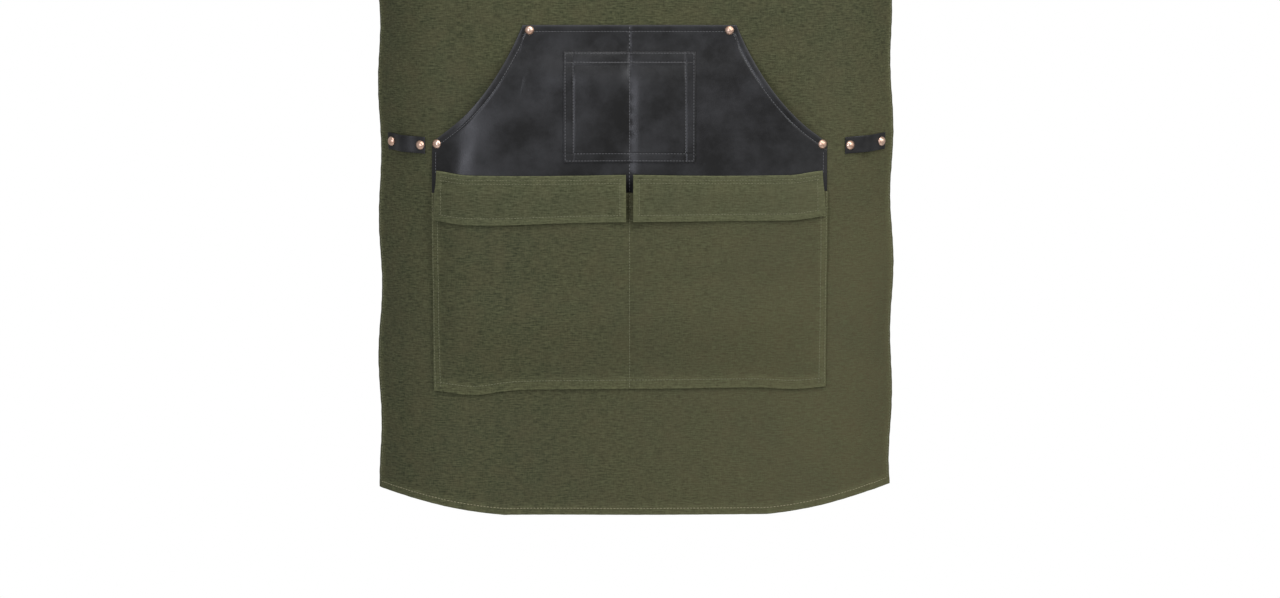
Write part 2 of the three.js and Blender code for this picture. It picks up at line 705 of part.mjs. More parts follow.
// The short strap holds the buckle's heel bar at its top and the left ring at its foot.
const shortPinch = (d) => Math.max(pinch(d), pinch(heelBar - d));
const shortLap = 24;
const shortStrap = [
  ...steps(shortLap, 4, 5).map((d) => behindFrame(-1, d, pinch(d))),
  ...wireTurn(-1, 0, -1),
  ...steps(4, heelBar - 4, 6).map((d) => legFrame(-1, d, shortPinch(d))),
  ...wireTurn(-1, heelBar, 1).reverse(),
  ...steps(heelBar - 4, heelBar - shortLap, 5).map((d) => behindFrame(-1, d, pinch(heelBar - d))),
];
add('neck_strap_short',
  cut(band(shortStrap, strapWidth, strapThick),
    [legBlock(-1, prongSlot, heelBar - 6, heelBar + 8, -8, 8)]), leather);

// ---- Buckle: a wire frame, and a prong that turns on its heel bar ----
function onLegPoint(across, distance, lift) {
  const { point, wide } = legFrame(-1, distance, lift);
  return point.addScaledVector(wide, across);
}
const frameHalf = strapWidth / 2 + 1 + frameWire;
const corner = 2;
const frameCorners = [[-1, heelBar, 1], [1, heelBar, 1], [1, topBar, -1], [-1, topBar, -1]];
const framePoints = frameCorners.flatMap(([side, d, inward]) => {
  const along = onLegPoint(side * (frameHalf - corner), d, 0);
  const up = onLegPoint(side * frameHalf, d + inward * corner, 0);
  return side * inward < 0 ? [up, along] : [along, up];
});
add('buckle_frame', wireLoop(framePoints, frameWire, front), brass);

const prongTip = topBar + 3;
const prongRest = frameWire + gap + prongRadius;
const eyeHole = frameWire + gap;
const eyeOuter = eyeHole + 1.5;
const tongueStart = heelBar + 0.8; // inside the eye's ring
// The prong is an eye round the heel bar and a flat tongue that rests on the top bar.
function prongGeometry() {
  const { point, wide } = legFrame(-1, heelBar);
  const eye = washer(eyeOuter, eyeHole, -prongRadius, prongRadius);
  eye.applyQuaternion(turnTo(wide));
  eye.translate(point.x, point.y, point.z);
  const tongue = legBlock(-1, 2 * prongRadius, tongueStart, prongTip,
    prongRest - prongRadius, prongRest + prongRadius);
  return join([eye, tongue]);
}
add('buckle_prong', prongGeometry(), brass);

// ---- Strap keeper: a leather loop round the short strap and the long strap's tail ----
const keeperThick = 1.6;
const keeperHeight = 10;
const keeperAt = heelBar - 30;
function keeperGeometry() {
  const low = -strapFace - gap - 0.1;
  const high = tailLift + strapThick / 2 + gap + 0.1;
  const half = strapWidth / 2 + gap + 0.2;
  const box = (Kind, grow) => {
    const path = new Kind();
    path.moveTo(-half - grow, low - grow);
    path.lineTo(half + grow, low - grow);
    path.lineTo(half + grow, high + grow);
    path.lineTo(-half - grow, high + grow);
    path.closePath();
    return path;
  };
  const shape = box(THREE.Shape, keeperThick);
  shape.holes.push(box(THREE.Path, 0));
  const geometry = new THREE.ExtrudeGeometry(shape, { depth: keeperHeight, bevelEnabled: false });
  geometry.translate(0, 0, -keeperHeight / 2);
  const { point, out } = legFrame(-1, keeperAt);
  const up = legUp(-1);
  const wide = new THREE.Vector3().crossVectors(out, up);
  geometry.applyMatrix4(new THREE.Matrix4().makeBasis(wide, out, up));
  return facingOut(geometry.translate(point.x, point.y, point.z));
}
add('strap_keeper', keeperGeometry(), leather);

// ---- Waist ties: webbing riveted behind the waist corners, hanging straight down ----
const tieThick = 2;
const tieBehind = 4.4; // from the cloth's middle to the webbing's, so that it clears the cloth's curl
const tieHead = 12; // above the rivet
for (const place of tieRivets) {
  const { out } = plan(place.s);
  const wide = new THREE.Vector3(-out.y, out.x, 0);
  const frames = steps(place.h + tieHead, place.h + tieHead - tieLength, 120).map((h) => {
    const { x, y } = over(place.s, place.h, -tieBehind);
    return { point: new THREE.Vector3(x, y, hemZ + h), wide, out };
  });
  add(`waist_tie_${place.side}`, cut(band(frames, tieWidth, tieThick), holes([place])), webbing);
  fasten(place, canvasThick / 2, -tieBehind - tieThick / 2);
}

// ---- Hook ----
const plateCorner = 6;
const screwRadius = 2.2;
function plateGeometry() {
  const w = plateWidth / 2;
  const h = plateHeight / 2;
  const r = plateCorner;
  const shape = new THREE.Shape();
  shape.moveTo(-w + r, -h);
  shape.lineTo(w - r, -h);
  shape.absarc(w - r, -h + r, r, -Math.PI / 2, 0, false);
  shape.lineTo(w, h - r);
  shape.absarc(w - r, h - r, r, 0, Math.PI / 2, false);
  shape.lineTo(-w + r, h);
  shape.absarc(-w + r, h - r, r, Math.PI / 2, Math.PI, false);
  shape.lineTo(-w, -h + r);
  shape.absarc(-w + r, -h + r, r, Math.PI, Math.PI * 1.5, false);
  for (const side of [1, -1]) {
    const hole = new THREE.Path();
    hole.absarc(0, (side * screwSpacing) / 2, screwRadius + gap, 0, Math.PI * 2, true);
    shape.holes.push(hole);
  }
  const depth = plateThick;
  return new THREE.ExtrudeGeometry(shape, { depth, bevelEnabled: false, curveSegments: 5 })
    .rotateX(Math.PI / 2);
}
add('hook_backplate', plateGeometry(), iron);

const armBend = 22;
const bossLength = 5;
const knobRadius = armRadius + 2.5;
function armGeometry() {
  const root = new THREE.Vector3(0, -plateThick - gap - 1, armZ);
  const elbow = new THREE.Vector3(0, -armReach + armBend, armZ);
  const tip = new THREE.Vector3(0, -armReach - 2, armZ + tipRise);
  const bend = new THREE.QuadraticBezierCurve3(elbow, new THREE.Vector3(0, -armReach, armZ), tip);
  const path = new THREE.CatmullRomCurve3([root, root.clone().lerp(elbow, 0.5), ...bend.getPoints(4)]);
  const section = new THREE.Shape().absarc(0, 0, armRadius, 0, Math.PI * 2, false);
  const bar = new THREE.ExtrudeGeometry(section,
    { extrudePath: path, steps: 14, curveSegments: 5, bevelEnabled: false });
  const knob = new THREE.SphereGeometry(knobRadius, 10, 7).translate(0, tip.y, tip.z + 2);
  const boss = new THREE.CylinderGeometry(armRadius + 6, armRadius + 4, bossLength, 12)
    .translate(0, -plateThick - gap - bossLength / 2, armZ);
  return join([facingOut(bar), knob, boss]);
}
add('hook_arm', armGeometry(), iron);

const screwHead = 4.6;
const screwLength = 34;
const headBase = plateThick + gap;
for (const [name, side] of [['upper', 1], ['lower', -1]]) {
  const profile = [
    [0, plateThick - screwLength], [screwRadius * 0.5, plateThick - screwLength + 4],
    [screwRadius, plateThick - screwLength + 10], [screwRadius, headBase],
    [screwHead, headBase], [screwHead * 0.8, headBase + 1.8], [0, headBase + 2.4],
  ].map(([r, y]) => new THREE.Vector2(r, y));
  const screw = new THREE.LatheGeometry(profile, 10).rotateX(Math.PI);
  add(`hook_screw_${name}`, screw.translate(0, 0, (side * screwSpacing) / 2), steel);
}

export default apron;
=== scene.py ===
import math

import bmesh
import bpy
import numpy as np
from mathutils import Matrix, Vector


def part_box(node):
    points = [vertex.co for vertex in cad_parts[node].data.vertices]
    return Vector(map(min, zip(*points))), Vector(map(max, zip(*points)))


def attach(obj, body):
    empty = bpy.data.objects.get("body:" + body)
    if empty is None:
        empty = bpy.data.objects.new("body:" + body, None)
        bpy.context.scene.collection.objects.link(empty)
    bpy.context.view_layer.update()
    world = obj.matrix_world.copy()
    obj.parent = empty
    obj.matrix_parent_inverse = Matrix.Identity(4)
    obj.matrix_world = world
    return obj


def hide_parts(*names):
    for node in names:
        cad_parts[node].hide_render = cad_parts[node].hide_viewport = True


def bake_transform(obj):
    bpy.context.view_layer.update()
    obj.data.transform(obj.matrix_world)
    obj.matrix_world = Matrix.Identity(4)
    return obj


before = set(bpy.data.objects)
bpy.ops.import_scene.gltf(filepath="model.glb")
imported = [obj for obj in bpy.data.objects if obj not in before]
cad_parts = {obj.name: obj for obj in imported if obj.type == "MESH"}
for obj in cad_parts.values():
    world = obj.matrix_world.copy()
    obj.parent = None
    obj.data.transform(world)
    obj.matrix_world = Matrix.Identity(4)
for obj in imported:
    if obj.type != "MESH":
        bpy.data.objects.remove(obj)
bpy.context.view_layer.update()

# ---- Camera and studio ----
# A long lens looks slightly down at the skirt and the pockets, in soft light before a white ground. The
# ground is brighter to the lens than the light that it gives, so that the cloth keeps its shading.
hem_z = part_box("apron_panel")[0].z
view_centre = Vector((0.006, -0.075, hem_z + 0.2745))
view_width = 1.601
view_down = math.radians(7.5)
lens = 110.0
sensor = 36.0
floor_z = hem_z - 0.62
floor_half = 0.9
floor_back = 0.03
skirt_middle = (0, -0.07, hem_z + 0.40)
bib_middle = (0.15, -0.07, hem_z + 0.85)
sides = (("left", -1), ("right", 1))


def add_object(name, data):
    thing = bpy.data.objects.new(name, data)
    bpy.context.collection.objects.link(thing)
    return thing


camera_data = bpy.data.cameras.new("camera")
camera_data.lens = lens
camera_data.sensor_width = sensor
camera_data.clip_end = 100
camera = add_object("camera", camera_data)
camera_way = Vector((0, -math.cos(view_down), math.sin(view_down)))
camera.location = view_centre + camera_way * (view_width * lens / sensor)
camera.rotation_euler = (math.pi / 2 - view_down, 0, 0)
bpy.context.scene.camera = camera
bpy.context.scene.view_settings.view_transform = "Standard"

world = bpy.data.worlds.new("studio")
world.use_nodes = True
world_nodes, world_links = world.node_tree.nodes, world.node_tree.links
seen_white = world_nodes["Background"]
seen_white.inputs["Color"].default_value = (1, 1, 1, 1)
fill_light = world_nodes.new("ShaderNodeBackground")
fill_light.inputs["Color"].default_value = (0.97, 0.98, 1.0, 1)
fill_light.inputs["Strength"].default_value = 0.42
rays = world_nodes.new("ShaderNodeLightPath")
by_ray = world_nodes.new("ShaderNodeMixShader")
for source, target in ((rays.outputs["Is Camera Ray"], by_ray.inputs[0]),
                       (fill_light.outputs[0], by_ray.inputs[1]),
                       (seen_white.outputs[0], by_ray.inputs[2]),
                       (by_ray.outputs[0], world_nodes["World Output"].inputs["Surface"])):
    world_links.new(source, target)
bpy.context.scene.world = world

for name, place, aim, size, power, colour in (
        ("strip_left", (-1.20, -2.95, 0.75), skirt_middle, (0.16, 2.0), 29, (0.86, 0.88, 1.0)),
        ("strip_right", (1.05, -1.60, 1.50), bib_middle, (0.16, 1.4), 14, (0.94, 0.96, 1.0)),
        ("behind", (0.5, 2.8, 1.4), skirt_middle, (1.6, 1.6), 55, (1.0, 0.98, 0.95)),
        ("side_right", (2.9, -1.6, 1.5), skirt_middle, (0.7, 1.6), 16, (1.0, 0.97, 0.92)),
        ("top", (0.2, -2.0, 3.2), skirt_middle, (2.0, 1.0), 34, (1.0, 1.0, 1.0))):
    light = bpy.data.lights.new(name, "AREA")
    light.shape = "RECTANGLE"
    light.size, light.size_y = size
    light.energy = power
    light.color = colour
    lamp = add_object(name, light)
    lamp.location = Vector(place) + Vector((0, 0, hem_z))
    lamp.visible_camera = False
    lamp.rotation_euler = (Vector(aim) - lamp.location).to_track_quat("-Z", "Y").to_euler()

floor_mesh = bpy.data.meshes.new("studio_floor")
floor_mesh.from_pydata([(-floor_half, -floor_half, floor_z), (floor_half, -floor_half, floor_z),
                        (floor_half, floor_back, floor_z), (-floor_half, floor_back, floor_z)],
                       [], [(0, 1, 2, 3)])
floor_paint = bpy.data.materials.new("pale_floor")
floor_paint.use_nodes = True
floor_shader = floor_paint.node_tree.nodes["Principled BSDF"]
floor_shader.inputs["Base Color"].default_value = (0.80, 0.80, 0.79, 1)
floor_shader.inputs["Roughness"].default_value = 0.9
floor_mesh.materials.append(floor_paint)
floor = add_object("studio_floor", floor_mesh)

# ---- Apron panel ----
# One cut of heavy waxed canvas. Its sides, armholes and bib are turned in twice and sewn, and its hem
# is turned up and sewn with pale thread. It hangs flat in front and curls back at the sides.
flat_half = 0.214
side_radius = 0.131
skirt_away = 0.072
bib_away = 0.060
apron_length = 0.914
panel_half = 0.340
bib_half = 0.125
waist_height = 0.672
bib_straight = 0.060
hem_rise = 0.028
hem_flat = 0.165
canvas_thick = 0.0011
hem_thick = 0.0027
side_hem = 0.0068
foot_hem = 0.0105
turn_line = 0.0012  # width of the step where a turned hem ends
edge_inset = 0.0048  # from the panel's edges to their stitches
hem_inset = 0.0085


def ease(t):
    t = np.clip(t, 0, 1)
    return t * t * (3 - 2 * t)


def bell(distance, width):
    return np.exp(-(distance / width) ** 2)


def edge_round(distance, radius):
    return 0.35 + 0.65 * np.sqrt(1 - (1 - np.clip(distance / radius, 0, 1)) ** 2)


def nearest(*distances):
    return np.minimum.reduce(np.broadcast_arrays(*distances))


def plan(s):
    """The cloth's plan curve at arc length s from the middle: x, how far back, and the outward direction."""
    side = np.where(s < 0, -1.0, 1.0)
    turn = np.maximum(0, np.abs(s) - flat_half) / side_radius
    x = side * (np.minimum(np.abs(s), flat_half) + side_radius * np.sin(turn))
    back = side_radius * (1 - np.cos(turn))
    return x, back, side * np.sin(turn), -np.cos(turn)


def hang(s, h):
    """How the cloth hangs: slack waves out of its plane, held back under the pockets, and two folds."""
    held = ease((0.27 - np.abs(s + 0.007)) / 0.05) * ease((h - 0.15) / 0.05) * ease((0.64 - h) / 0.05)
    broad = np.sin(15.0 * s + 2.2 * h + 0.6) * np.sin(5.2 * h + 1.1)
    fine = np.sin(31.0 * s - 9.0 * h + 2.0) * np.sin(13.0 * h + 0.4)
    folds = bell(s + 0.225 + 0.05 * (h - 0.6), 0.018) + bell(s - 0.235, 0.02)
    return (1 - 0.75 * held) * (0.0028 * broad + 0.0010 * fine) - 0.0030 * folds * ease((h - 0.47) / 0.12)


def over(s, h, off=0.0):
    """Points over the cloth: arc length s from the middle, height h above the hem, stand-off off."""
    s, h, off = np.broadcast_arrays(np.asarray(s, float), np.asarray(h, float), np.asarray(off, float))
    x, back, out_x, out_y = plan(s)
    bib = ease((h - waist_height) / (apron_length - bib_straight - waist_height))
    edge = ease((np.abs(s) - 0.26) / 0.08) * (1 - ease((h - 0.6) / 0.1))
    waver = 0.0019 * np.sin(37.0 * h + np.where(s < 0, 0.4, 2.6))
    flare = np.where(s > 0, 0.0042 * (1 - h / 0.65), 0.0)
    x = x + np.sign(s) * edge * (waver + flare)
    y = back - (skirt_away + (bib_away - skirt_away) * bib)
    lift = off + hang(s, h) * (1 - ease((h - 0.84) / 0.05))
    tilt = 0.011 * (1 - ease((h - 0.37) / 0.08)) - 0.006 * (1 - ease(h / 0.14))
    return np.stack([x + out_x * lift, y + out_y * lift, hem_z + h + tilt * s], -1)


def runs(*parts):
    """Joins stretches (start, end, step) into one rising list of places."""
    places = [np.linspace(a, b, max(2, int(round((b - a) / step)) + 1)) for a, b, step in parts]
    return np.concatenate([places[0]] + [p[1:] for p in places[1:]])


def mirrored(steps, middle=0.0):
    return np.concatenate([-steps[:0:-1], steps]) + middle


def grid_normals(points):
    normal = np.cross(np.gradient(points, axis=0), np.gradient(points, axis=1))
    return normal / np.maximum(np.linalg.norm(normal, axis=-1, keepdims=True), 1e-12)


def new_piece(name, vertices, faces, uvs=None, sharp=50):
    data = bpy.data.meshes.new(name)
    data.from_pydata(np.asarray(vertices).reshape(-1, 3).tolist(), [], [tuple(f) for f in faces])
    if uvs is not None:
        layer = data.uv_layers.new(name="cut")
        corners = np.empty(len(data.loops), np.int32)
        data.loops.foreach_get("vertex_index", corners)
        layer.data.foreach_set("uv", np.asarray(uvs, np.float32)[corners].ravel())
    data.shade_smooth()
    data.set_sharp_from_angle(angle=math.radians(sharp))
    return add_object(name, data)


def grid_faces(columns, rows):
    """Faces of a closed sheet: the front grid, the back grid and the four rims."""
    f, b = np.arange(2 * columns * rows).reshape(2, columns, rows)

    def quads(p, q, r, t):
        return np.stack([p, q, r, t], -1).reshape(-1, 4)

    return np.concatenate([
        quads(f[:-1, :-1], f[1:, :-1], f[1:, 1:], f[:-1, 1:]),
        quads(b[:-1, :-1], b[:-1, 1:], b[1:, 1:], b[1:, :-1]),
        quads(f[:-1, 0], b[:-1, 0], b[1:, 0], f[1:, 0]),
        quads(f[:-1, -1], f[1:, -1], b[1:, -1], b[:-1, -1]),
        quads(f[0, :-1], f[0, 1:], b[0, 1:], b[0, :-1]),
        quads(f[-1, :-1], b[-1, :-1], b[-1, 1:], f[-1, 1:]),
    ])


def cloth(name, columns, rows_at, off_at, thick_at, rubbed_at=None, slant_at=None):
    """A closed sheet over the apron. rows_at(s) lists a column's heights, the same number in each,
    rubbed_at gives how worn each place is, from 0 to 1, and slant_at moves a column's places sideways."""
    h = np.stack([rows_at(s) for s in columns])
    s = np.broadcast_to(np.asarray(columns)[:, None], h.shape)
    if slant_at is not None:
        s = slant_at(s, h)
    middle = over(s, h, off_at(s, h))
    half = grid_normals(middle) * thick_at(s, h)[..., None] / 2
    uvs = np.tile(np.stack([s, h], -1).reshape(-1, 2), (2, 1))
    piece = new_piece(name, np.stack([middle + half, middle - half]), grid_faces(*h.shape), uvs)
    if rubbed_at is not None:
        worn = piece.data.attributes.new("rubbed", "FLOAT", "POINT")
        worn.data.foreach_set("value", np.tile(rubbed_at(s, h), (2, 1, 1)).astype(np.float32).ravel())
    return piece


def edge_wear(distance, seam):
    """Wear along an edge, and less of it along the ridge outside a seam that far in."""
    return np.clip(bell(distance, 0.0012) + 0.35 * bell(distance - 0.6 * seam, 0.45 * seam), 0, 1)


def curve_height(start, bend, end, u):
    """Height at distance u from the middle on a quadratic curve from start, by way of bend, to end."""
    a = start[0] - 2 * bend[0] + end[0]
    b = 2 * (bend[0] - start[0])
    c = start[0] - u
    t = (-b + np.sqrt(np.maximum(0, b * b - 4 * a * c))) / (2 * a)
    return (1 - t) ** 2 * start[1] + 2 * t * (1 - t) * bend[1] + t ** 2 * end[1]


def slope(curve, s, step):
    return (curve(s + step) - curve(s - step)) / (2 * step)


def slant(curve, s, step):
    """How much longer the way down from a curve is than the way in from it."""
    return np.hypot(1, slope(curve, s, step))


def hem_height(s):
    t = np.clip((np.abs(s) - hem_flat) / (panel_half - hem_flat), 0, 1)
    return hem_rise * (0.5 * t + 0.5 * ease(t))


armhole_bend = (bib_half + 0.18 * (panel_half - bib_half),
                waist_height + 0.14 * (apron_length - waist_height))


def apron_top(s):
    u = np.maximum(np.abs(s), bib_half)
    return curve_height((bib_half, apron_length), armhole_bend, (panel_half, waist_height), u)


def panel_rows(s):
    low, high = hem_height(s), apron_top(s)
    body = np.linspace(low + foot_hem + turn_line, high - side_hem - turn_line, 150)
    foot = low + np.array([0, 0.0005, 0.001, 0.004, 0.007, foot_hem, foot_hem + 0.0006])
    head = high - np.array([side_hem + 0.0006, side_hem, 0.004, 0.001, 0.0005, 0])
    return np.concatenate([foot, body, head])


def panel_edges(s, h):
    """Distances from the sides, the hem and, roughly, the armhole or the bib's top."""
    return panel_half - np.abs(s), h - hem_height(s), (apron_top(s) - h) / slant(apron_top, np.abs(s), 0.002)


def turned_in(*hems):
    """1 over turned hems and 0 past them. Each hem is a distance from an edge and the hem's depth."""
    return np.maximum.reduce(np.broadcast_arrays(*(1 - ease((far - deep) / turn_line) for far, deep in hems)))


def panel_thick(s, h):
    side, foot, arm = panel_edges(s, h)
    turned = turned_in((side, side_hem), (foot, foot_hem), (arm, side_hem))
    return (canvas_thick + (hem_thick - canvas_thick) * turned) * edge_round(nearest(side, foot, arm), 0.001)


def pucker(along, away, reach=0.016):
    """Small ripples that a row of stitches draws into the cloth beside it."""
    wave = np.sin(along * 410) + 0.7 * np.sin(along * 263 + 1.0) + 0.5 * np.sin(along * 157 + 2.0)
    return 0.00016 * wave * bell(away - 0.006, reach)


def panel_rubbed(s, h):
    side, foot, arm = panel_edges(s, h)
    return np.maximum(edge_wear(nearest(side, arm), side_hem), edge_wear(foot, foot_hem))


def panel_off(s, h):
    side, foot, arm = panel_edges(s, h)
    return pucker(h, side) + 1.8 * pucker(s, foot) + pucker(s + h, arm)


hem_line = panel_half - side_hem
half_columns = runs((0, 0.12, 0.006), (0.12, 0.165, 0.0025), (0.165, hem_line - turn_line, 0.005),
                    (hem_line - turn_line, hem_line, 0.0006), (hem_line, panel_half - 0.001, 0.0018),
                    (panel_half - 0.001, panel_half, 0.0005))
apron_cloth = cloth("apron_cloth", mirrored(half_columns), panel_rows, panel_off, panel_thick, panel_rubbed)


def shader_group(name, inputs, outputs):
    """A node group with named number inputs and number outputs."""
    group = bpy.data.node_groups.new(name, "ShaderNodeTree")
    for label, value in inputs.items():
        group.interface.new_socket(label, in_out="INPUT", socket_type="NodeSocketFloat").default_value = value
    for label in outputs:
        group.interface.new_socket(label, in_out="OUTPUT", socket_type="NodeSocketFloat")
    return group, group.nodes.new("NodeGroupInput"), group.nodes.new("NodeGroupOutput")


def use_group(tree, group, **values):
    node = tree.nodes.new("ShaderNodeGroup")
    node.node_tree = group
    for label, value in values.items():
        node.inputs[label].default_value = value
    return node


def feed(tree, socket, value):
    """Gives a socket a value, or links another socket to it."""
    if isinstance(value, (int, float, tuple)):
        socket.default_value = value
    else:
        tree.links.new(value, socket)


def math_node(tree, operation, a, b=None):
    node = tree.nodes.new("ShaderNodeMath")
    node.operation = operation
    feed(tree, node.inputs[0], a)
    if b is not None:
        feed(tree, node.inputs[1], b)
    return node.outputs[0]


def noise_node(tree, vector, scale, detail=3.0, roughness=0.55):
    node = tree.nodes.new("ShaderNodeTexNoise")
    for label, value in (("Scale", scale), ("Detail", detail), ("Roughness", roughness), ("Vector", vector)):
        feed(tree, node.inputs[label], value)
    return node.outputs[0]


def stretched(tree, vector, across, up):
    node = tree.nodes.new("ShaderNodeVectorMath")
    node.operation = "MULTIPLY"
    node.inputs[1].default_value = (across, up, 1)
    feed(tree, node.inputs[0], vector)
    return node.outputs[0]


def mixed(tree, factor, a, b):
    node = tree.nodes.new("ShaderNodeMix")
    node.data_type = "RGBA"
    for socket, value in zip((node.inputs[0], node.inputs[6], node.inputs[7]), (factor, a, b)):
        feed(tree, socket, value)
    return node.outputs[2]


def ramp(tree, value, low, high, to_low=0.0, to_high=1.0):
    node = tree.nodes.new("ShaderNodeMapRange")
    for label, given in (("From Min", low), ("From Max", high), ("To Min", to_low), ("To Max", to_high),
                         ("Value", value)):
        feed(tree, node.inputs[label], given)
    return node.outputs[0]


def cut_plane(tree):
    """A place on the cut's own plane, and its two parts."""
    cut = tree.nodes.new("ShaderNodeUVMap")
    cut.uv_map = "cut"
    parts = tree.nodes.new("ShaderNodeSeparateXYZ")
    feed(tree, parts.inputs[0], cut.outputs[0])
    return cut.outputs[0], parts.outputs[0], parts.outputs[1]


def duck_weave():
    """Plain weave with slubs: yarn height, a slub mask, a broad wax mask and a tint mask."""
    group, given, result = shader_group("duck_weave", {"Yarn": 0.0009}, ("Height", "Slubs", "Wax", "Tint"))
    place, across, up = cut_plane(group)
    turn = math_node(group, "DIVIDE", math.pi, given.outputs["Yarn"])
    warp, weft = (math_node(group, "SINE", math_node(group, "MULTIPLY", way, turn)) for way in (across, up))
    yarns = math_node(group, "ABSOLUTE", math_node(group, "MULTIPLY", warp, weft))
    lengthways = noise_node(group, stretched(group, place, 900, 110), 1.0, 2.0)
    crossways = noise_node(group, stretched(group, place, 85, 800), 1.0, 3.0)
    coarse = noise_node(group, stretched(group, place, 210, 420), 1.0, 4.0)
    threads = math_node(group, "ADD", math_node(group, "MULTIPLY", lengthways, 0.6),
                        math_node(group, "MULTIPLY", crossways, 1.4))
    slubs = ramp(group, math_node(group, "ADD", threads, coarse), 1.18, 1.82)
    height = math_node(group, "ADD", math_node(group, "MULTIPLY", yarns, 0.6), slubs)
    wax = ramp(group, noise_node(group, place, 7.0, 5.0, 0.6), 0.35, 0.68)
    tint = ramp(group, noise_node(group, place, 31.0, 4.0, 0.65), 0.40, 0.66)
    for label, value in (("Height", height), ("Slubs", slubs), ("Wax", wax), ("Tint", tint)):
        feed(group, result.inputs[label], value)
    return group


weave_group = duck_weave()


def base_material(name, rough, metal=0.0, specular=0.5):
    material = bpy.data.materials.new(name)
    material.use_nodes = True
    shader = material.node_tree.nodes["Principled BSDF"]
    shader.inputs["Roughness"].default_value = rough
    shader.inputs["Metallic"].default_value = metal
    shader.inputs["Specular IOR Level"].default_value = specular
    return material, material.node_tree, shader


def bump(tree, shader, height, distance, strength):
    node = tree.nodes.new("ShaderNodeBump")
    for label, value in (("Distance", distance), ("Strength", strength), ("Height", height)):
        feed(tree, node.inputs[label], value)
    feed(tree, shader.inputs["Normal"], node.outputs[0])


def rubbed_share(tree, share):
    """How worn a place is, from the piece's own attribute, times a share."""
    node = tree.nodes.new("ShaderNodeAttribute")
    node.attribute_name = "rubbed"
    return math_node(tree, "MULTIPLY", node.outputs["Fac"], share)


def shade(colour, times):
    return tuple(times * c for c in colour[:3]) + (1,)


def canvas_material(name, dark, light, earth_and_painted_light):
    """Waxed duck: dark and light are the yarn's colours, and the third colour is a brown. It tints the cloth
    in random patches. On the cloth's lower right side it also browns and lightens the cloth, which is painted
    light from the right.
    """
    material, tree, shader = base_material(name, 0.82, specular=0.28)
    weave = use_group(tree, weave_group, Yarn=0.0009).outputs
    _, across, up = cut_plane(tree)
    yarns = mixed(tree, weave["Slubs"], dark, light)
    # Painted light: the cloth's lower right side is mixed toward the lighter brown. This stands for light
    # falling from the right, and it also gives that side a brown tint.
    right = math_node(tree, "MULTIPLY", ramp(tree, across, -0.15, 0.34), ramp(tree, up, 0.62, 0.30))
    lit_brown_yarns = mixed(tree, weave["Slubs"], earth_and_painted_light, light)
    right_side_lit = mixed(tree, math_node(tree, "MULTIPLY", right, 0.85), yarns, lit_brown_yarns)
    waxed = mixed(tree, math_node(tree, "MULTIPLY", weave["Wax"], 0.22), right_side_lit, dark)
    browned = mixed(tree, math_node(tree, "MULTIPLY", weave["Tint"], 0.27), waxed, earth_and_painted_light)
    patchy = math_node(tree, "ADD", math_node(tree, "MULTIPLY", weave["Slubs"], 0.5), 0.22)
    bare = mixed(tree, rubbed_share(tree, patchy), browned, shade(light, 1.75))
    feed(tree, shader.inputs["Base Color"], bare)
    feed(tree, shader.inputs["Roughness"], ramp(tree, weave["Wax"], 0, 1, 0.86, 0.74))
    bump(tree, shader, weave["Height"], 0.00035, 0.55)
    return material


green_canvas = canvas_material("green_waxed_canvas", (0.026, 0.029, 0.011, 1), (0.095, 0.099, 0.046, 1),
                               (0.092, 0.076, 0.036, 1))
flap_canvas = canvas_material("flap_canvas", (0.029, 0.033, 0.012, 1), (0.100, 0.105, 0.051, 1),
                              (0.098, 0.088, 0.042, 1))
apron_cloth.data.materials.append(green_canvas)


def thread_material(name, colour):
    material, tree, shader = base_material(name, 0.7, specular=0.3)
    place = tree.nodes.new("ShaderNodeTexCoord").outputs["Object"]
    twist = ramp(tree, noise_node(tree, place, 900, 2.0), 0.3, 0.7)
    feed(tree, shader.inputs["Base Color"], mixed(tree, twist, shade(colour, 0.6), colour))
    return material


tan_thread = thread_material("tan_thread", (0.36, 0.33, 0.20, 1))
olive_thread = thread_material("olive_thread", (0.215, 0.215, 0.125, 1))
black_thread = thread_material("black_thread", (0.150, 0.150, 0.155, 1))


def surface(off_at, thick_at):
    """A function from s, h to points on a sheet's front, and their normals."""
    def at(s, h):
        step = 0.0004
        here, aside, above = (over(s + a, h + b, off_at(s + a, h + b))
                              for a, b in ((0, 0), (step, 0), (0, step)))
        normal = np.cross(aside - here, above - here)
        normal /= np.linalg.norm(normal, axis=-1, keepdims=True)
        return here + normal * thick_at(s, h)[..., None] / 2, normal
    return at


stitch_length = 0.0030
stitch_pitch = 0.0038
stitch_radius = 0.00036
stitch_shape = ((-0.5, 0.25, -0.7), (-0.36, 0.95, 0.1), (0.0, 1.0, 0.35), (0.36, 0.95, 0.1),
                (0.5, 0.25, -0.7))  # place along a stitch, size and rise
stitch_sides = 6


def ring_faces(rings, around, start=0, closed=False):
    """Faces between rings of points that follow each other, with a cap at each end unless it is closed."""
    faces = []
    for i in range(rings if closed else rings - 1):
        low, high = start + i * around, start + (i + 1) % rings * around
        faces += [(low + k, low + (k + 1) % around, high + (k + 1) % around, high + k) for k in range(around)]
    if not closed:
        faces.append(tuple(start + k for k in reversed(range(around))))
        faces.append(tuple(start + (rings - 1) * around + k for k in range(around)))
    return faces


def thread_piece(name, threads, thread, radius=stitch_radius):
    """Stitches, each given by its middle, the way along its whole length, and the way out of the cloth."""
    vertices, faces = [], []
    for centre, along, out in threads:
        beside = np.cross(out, along / np.linalg.norm(along))
        faces += ring_faces(len(stitch_shape), stitch_sides, len(vertices))
        for place, size, rise in stitch_shape:
            for turn in (2 * math.pi * k / stitch_sides for k in range(stitch_sides)):
                spread = beside * math.cos(turn) + out * (math.sin(turn) + rise)
                vertices.append(centre + along * place + spread * radius * size)
    piece = new_piece(name, vertices, faces, sharp=180)
    piece.data.materials.append(thread)
    return piece


def reach_along(points):
    return np.concatenate([[0], np.cumsum(np.linalg.norm(np.diff(points, axis=0), axis=1))])


